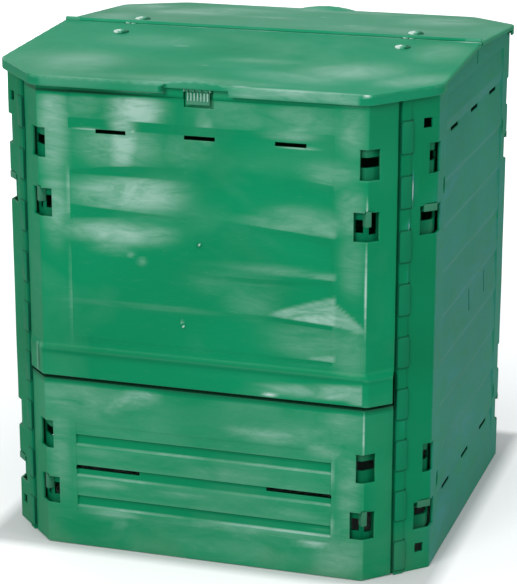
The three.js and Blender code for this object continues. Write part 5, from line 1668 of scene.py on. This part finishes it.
# CLEAR_CORNER is painted shade on the cut corners and side skirts, GRIP_END_SHADE a painted shadow line.
CLEAR_CORNER = 0.14
SKIRT_HAZE, RIGHT_SKIRT_HAZE = 0.06, 0.5
GRIP_END_SHADE, GRIP_END_HALF = 0.9, 1.6
roof_points = np.concatenate([flat_points, under.reshape(-1, 3)] + rings)
roof_bloom = np.zeros(len(roof_points))
at_cut_corner = ease(np.abs(roof_x), front_row_half, front_row_half + 6) * (1 - ease(rim_gap, 1.5, 4))
roof_bloom[:under_start] = (patches_of(LID_PAINTED_HAZE_AND_RUBS)(roof_x, roof_d) - CLEAR_CORNER * at_cut_corner).ravel()
border_x = border_points[:, 0]
on_front = 1 - ease(np.abs(border_x), front_row_half - 4, front_row_half + 4)
skirt_light_and_wear = on_front * (SKIRT_HAZE + RIGHT_SKIRT_HAZE * ease(border_x, 40, 80))
skirt_light_and_wear = skirt_light_and_wear - CLEAR_CORNER * (1 - on_front)
at_grip_end = np.exp(-((border_x + GRIP_HALF) / GRIP_END_HALF) ** 2) * on_front
skirt_light_and_wear = skirt_light_and_wear - GRIP_END_SHADE * at_grip_end
for number, share in enumerate(SKIRT_FADE):
    start = ring_start + number * len(border)
    roof_bloom[start:start + len(border)] = skirt_light_and_wear * share
print(f"bloom of a roof half: from {roof_bloom.min():.2f} to {roof_bloom.max():.2f}")

# %% [markdown]
# Ribs under the roof, and the two ears that hold the latch's pin, are drafted: a little narrower at the
# foot than at the root, so that the moulding leaves its mould.

# %% Drafted ribs and ears
def drafted_block(low, high, draft=0.4):
    """Points and faces of a block that narrows downwards, with its lower edges chamfered."""
    (x0, y0, z0), (x1, y1, z1) = low, high
    chamfer = min(0.5, (x1 - x0) / 5, (y1 - y0) / 5)
    layers = [(draft + chamfer, z0), (draft, z0 + chamfer), (0, z1)]
    points = [(x, y, z) for inset, z in layers for x, y in (
        (x0 + inset, y0 + inset), (x1 - inset, y0 + inset),
        (x1 - inset, y1 - inset), (x0 + inset, y1 - inset))]
    faces = [(3, 2, 1, 0), (8, 9, 10, 11)]
    for layer in (0, 4):
        faces += [(layer + k, layer + (k + 1) % 4, layer + 4 + (k + 1) % 4, layer + 4 + k) for k in range(4)]
    return np.array(points, float), faces, 0.0


RIB_HEIGHT, RIB_THICKNESS, RIB_SHARES = 7, 3, (0.32, 0.96)
PIN_PROUD, PIN_DROP, PIN_RADIUS = 3.5, 5.6, 2
LATCH_PIN_Y = -(BODY_HALF + PIN_PROUD)
LATCH_PIN_Z = roof_height(BODY_HALF + PIN_PROUD) - LID_THICKNESS - PIN_DROP
LATCH_HALF = 19
EAR_FROM, EAR_TO, EAR_REACH = 0.6, 3.6, 3.4
roof_parts = [(roof_points, roof_faces, roof_bloom)]
rib_half = LID_HALF_WIDTH - LID_THICKNESS - 30
for share in RIB_SHARES:
    y = -share * side_corner[1]
    under_height = roof_height(-y) - LID_THICKNESS
    roof_parts.append(drafted_block((-rib_half, y - RIB_THICKNESS, under_height - RIB_HEIGHT),
                                    (rib_half, y, under_height + 1)))
for side in (-1, 1):
    x0, x1 = sorted((side * (LATCH_HALF + EAR_FROM), side * (LATCH_HALF + EAR_TO)))
    ear_top = roof_height(LID_HALF_DEPTH) - LID_THICKNESS + 1
    roof_parts.append(drafted_block((x0, LATCH_PIN_Y - EAR_REACH, LATCH_PIN_Z - EAR_REACH),
                                    (x1, LATCH_PIN_Y + 3.2, ear_top), 0.2))
print("ribs and ears under a roof half:", len(roof_parts) - 1)

# %% The pin, and a roof half put together
PIN_FACETS = 20


def round_bar(y, z, radius, half):
    """Points and faces of a round pin along X, with chamfered ends."""
    rings = [(-half, 0.7), (-half + 0.5, 1), (half - 0.5, 1), (half, 0.7)]
    turns = [2 * math.pi * k / PIN_FACETS for k in range(PIN_FACETS)]
    points = [(x, y + radius * share * math.cos(turn), z + radius * share * math.sin(turn))
              for x, share in rings for turn in turns]
    faces = [tuple(range(PIN_FACETS - 1, -1, -1)), tuple(range(3 * PIN_FACETS, 4 * PIN_FACETS))]
    for start in (0, PIN_FACETS, 2 * PIN_FACETS):
        for k in range(PIN_FACETS):
            here, there = start + k, start + (k + 1) % PIN_FACETS
            faces.append((here, there, there + PIN_FACETS, here + PIN_FACETS))
    return np.array(points, float), faces, 0.0


roof_parts.append(round_bar(LATCH_PIN_Y, LATCH_PIN_Z, PIN_RADIUS, LATCH_HALF + 2))


for end, angle, haze in (("front", 0, 0), ("rear", math.pi, REAR_HAZE)):
    points, faces, light_and_wear_values = joined_parts(roof_parts)
    on_top = np.arange(len(points)) < under_start
    piece = make_piece(f"{end}_roof", [(points, faces, light_and_wear_values + haze * on_top)], angle, lid_green)
    dress(piece, f"{end}_lid", "lid", f"{end}_lid_half")

# %% [markdown]
# The latch is a plate that hangs from the pin by four open eyes. A comb of small upright ribs stiffens its
# root, which is again a row made by Geometry Nodes.

# %% Comb of the latch, by Geometry Nodes
COMB_HIGHLIGHT = 0.9


def latch_comb(end, angle):
    """The row of ribs of one latch. They are painted pale, as a highlight."""
    comb = Tree(f"{end}_latch_comb")
    width = comb.size("Rib Width", 2.2 * METRES)
    height = comb.size("Rib Height", 13 * METRES)
    corner = comb.size("Corner Radius", 0.9 * METRES)
    depth = comb.size("Rib Depth", 2.4 * METRES)
    chamfer = comb.size("Chamfer", 0.5 * METRES)
    ribs = comb.size("Ribs", 7, "NodeSocketInt")
    spacing = comb.size("Spacing", 5.4 * METRES)
    face = comb.size("Face", (LATCH_PIN_Y + 2.3) * METRES)
    middle = comb.size("Middle Height", (LATCH_PIN_Z - 11.5) * METRES)
    turn = comb.size("Turn", angle)
    rib = padded_plate(comb, width, height, corner, depth, chamfer)
    standing = comb.node("GeometryNodeTransform", Geometry=rib, Rotation=(QUARTER, 0.0, 0.0))
    first = comb.maths("MULTIPLY", comb.maths("MULTIPLY", spacing, -0.5), comb.maths("SUBTRACT", ribs, 1.0))
    row = comb.node("GeometryNodeMeshLine", {"mode": "OFFSET"}, Count=ribs,
                    Start_Location=comb.vector(first, face, middle), Offset=comb.vector(spacing, 0.0, 0.0))
    copies = comb.node("GeometryNodeInstanceOnPoints", Points=row.outputs[0], Instance=standing.outputs[0])
    turned_row = comb.node("GeometryNodeTransform", Geometry=copies.outputs[0],
                           Rotation=comb.vector(0.0, 0.0, turn))
    comb.finish(turned_row.outputs[0], fitting_green)
    made = comb.mesh(f"{end}_latch_comb")
    write_light_and_wear(made.data, np.full(len(made.data.vertices), COMB_HIGHLIGHT))
    return made


for end, angle in (("front", 0.0), ("rear", math.pi)):
    dress(latch_comb(end, angle), f"{end}_latch", "fitting")

# %% [markdown]
# The other pieces are small or plain enough that the measured solids already have their shape. Each is
# copied, its loose triangles are joined up, and its edges are rounded, because no moulded edge is sharp.

# %% A measured solid with rounded edges
BEVEL_SEGMENTS = 2
ROUNDED_FROM, FLAT_WITHIN = math.radians(35), math.radians(1.5)


def rounded_copy(node, name, width, material, bloom=None):
    """A copy of a measured solid with its sharp edges rounded."""
    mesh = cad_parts[node].data.copy()
    mesh.name = name
    work = bmesh.new()
    work.from_mesh(mesh)
    bmesh.ops.remove_doubles(work, verts=work.verts, dist=WELD)
    bmesh.ops.dissolve_limit(work, angle_limit=FLAT_WITHIN, verts=work.verts, edges=work.edges)
    work.to_mesh(mesh)
    work.free()
    piece = bpy.data.objects.new(name, mesh)
    bpy.context.scene.collection.objects.link(piece)
    bevel = piece.modifiers.new("rounding", "BEVEL")
    bevel.width = width * METRES
    bevel.segments = BEVEL_SEGMENTS
    bevel.limit_method = "ANGLE"
    bevel.angle_limit = ROUNDED_FROM
    bevel.use_clamp_overlap = True
    finished = baked(piece)
    finished.materials.clear()
    finished.materials.append(material)
    if bloom:
        write_light_and_wear(finished, bloom(points_of(finished)))
    return piece


print(f"a rounded edge has {BEVEL_SEGMENTS} facets")

# %% Brackets, ridge bar, latches and clips
# Brackets get a little painted shade; clip heads get a painted highlight and painted shade.
BRACKET_SHADE = -0.14
CLIP_LIT, CLIP_MIDDLE, CLIP_DARK, CLIP_BELOW = 1.7, 0.3, -0.6, -0.3


def in_shadow(points):
    """Brackets sit behind the windows, where little light comes, so they get a little painted shade."""
    return np.full(len(points), BRACKET_SHADE)


def shiny_head(points):
    """A clip's round head: a painted highlight on its left edge, painted shade on its right edge and below
    the roof.
    """
    share = (points[:, 0] - points[:, 0].min()) / np.ptp(points[:, 0])
    above_roof = points[:, 2] > roof_height(np.abs(points[:, 1])) - 0.5
    lit = np.where(share < 0.4, CLIP_LIT, np.where(share > 0.65, CLIP_DARK, CLIP_MIDDLE))
    return np.where(above_roof, lit, CLIP_BELOW)


for corner in ("front_right", "rear_right", "rear_left", "front_left"):
    for level in ("lower", "upper"):
        node = f"{corner}_{level}_bracket"
        dress(rounded_copy(node, f"{node}_moulding", 0.5, fitting_green, in_shadow), "bin", "fitting", node)
dress(rounded_copy("ridge_bar", "ridge_rod", 0.6, lid_green), "bin", "lid", "ridge_bar")
for end in ("front", "rear"):
    dress(rounded_copy(f"{end}_lid_latch", f"{end}_latch_moulding", 0.5, fitting_green), f"{end}_latch",
          "fitting", f"{end}_lid_latch")
    for hand in ("left", "right"):
        node = f"{end}_{hand}_hinge_clip"
        dress(rounded_copy(node, f"{node}_moulding", 0.5, lid_green, shiny_head), f"{end}_lid", "lid", node)
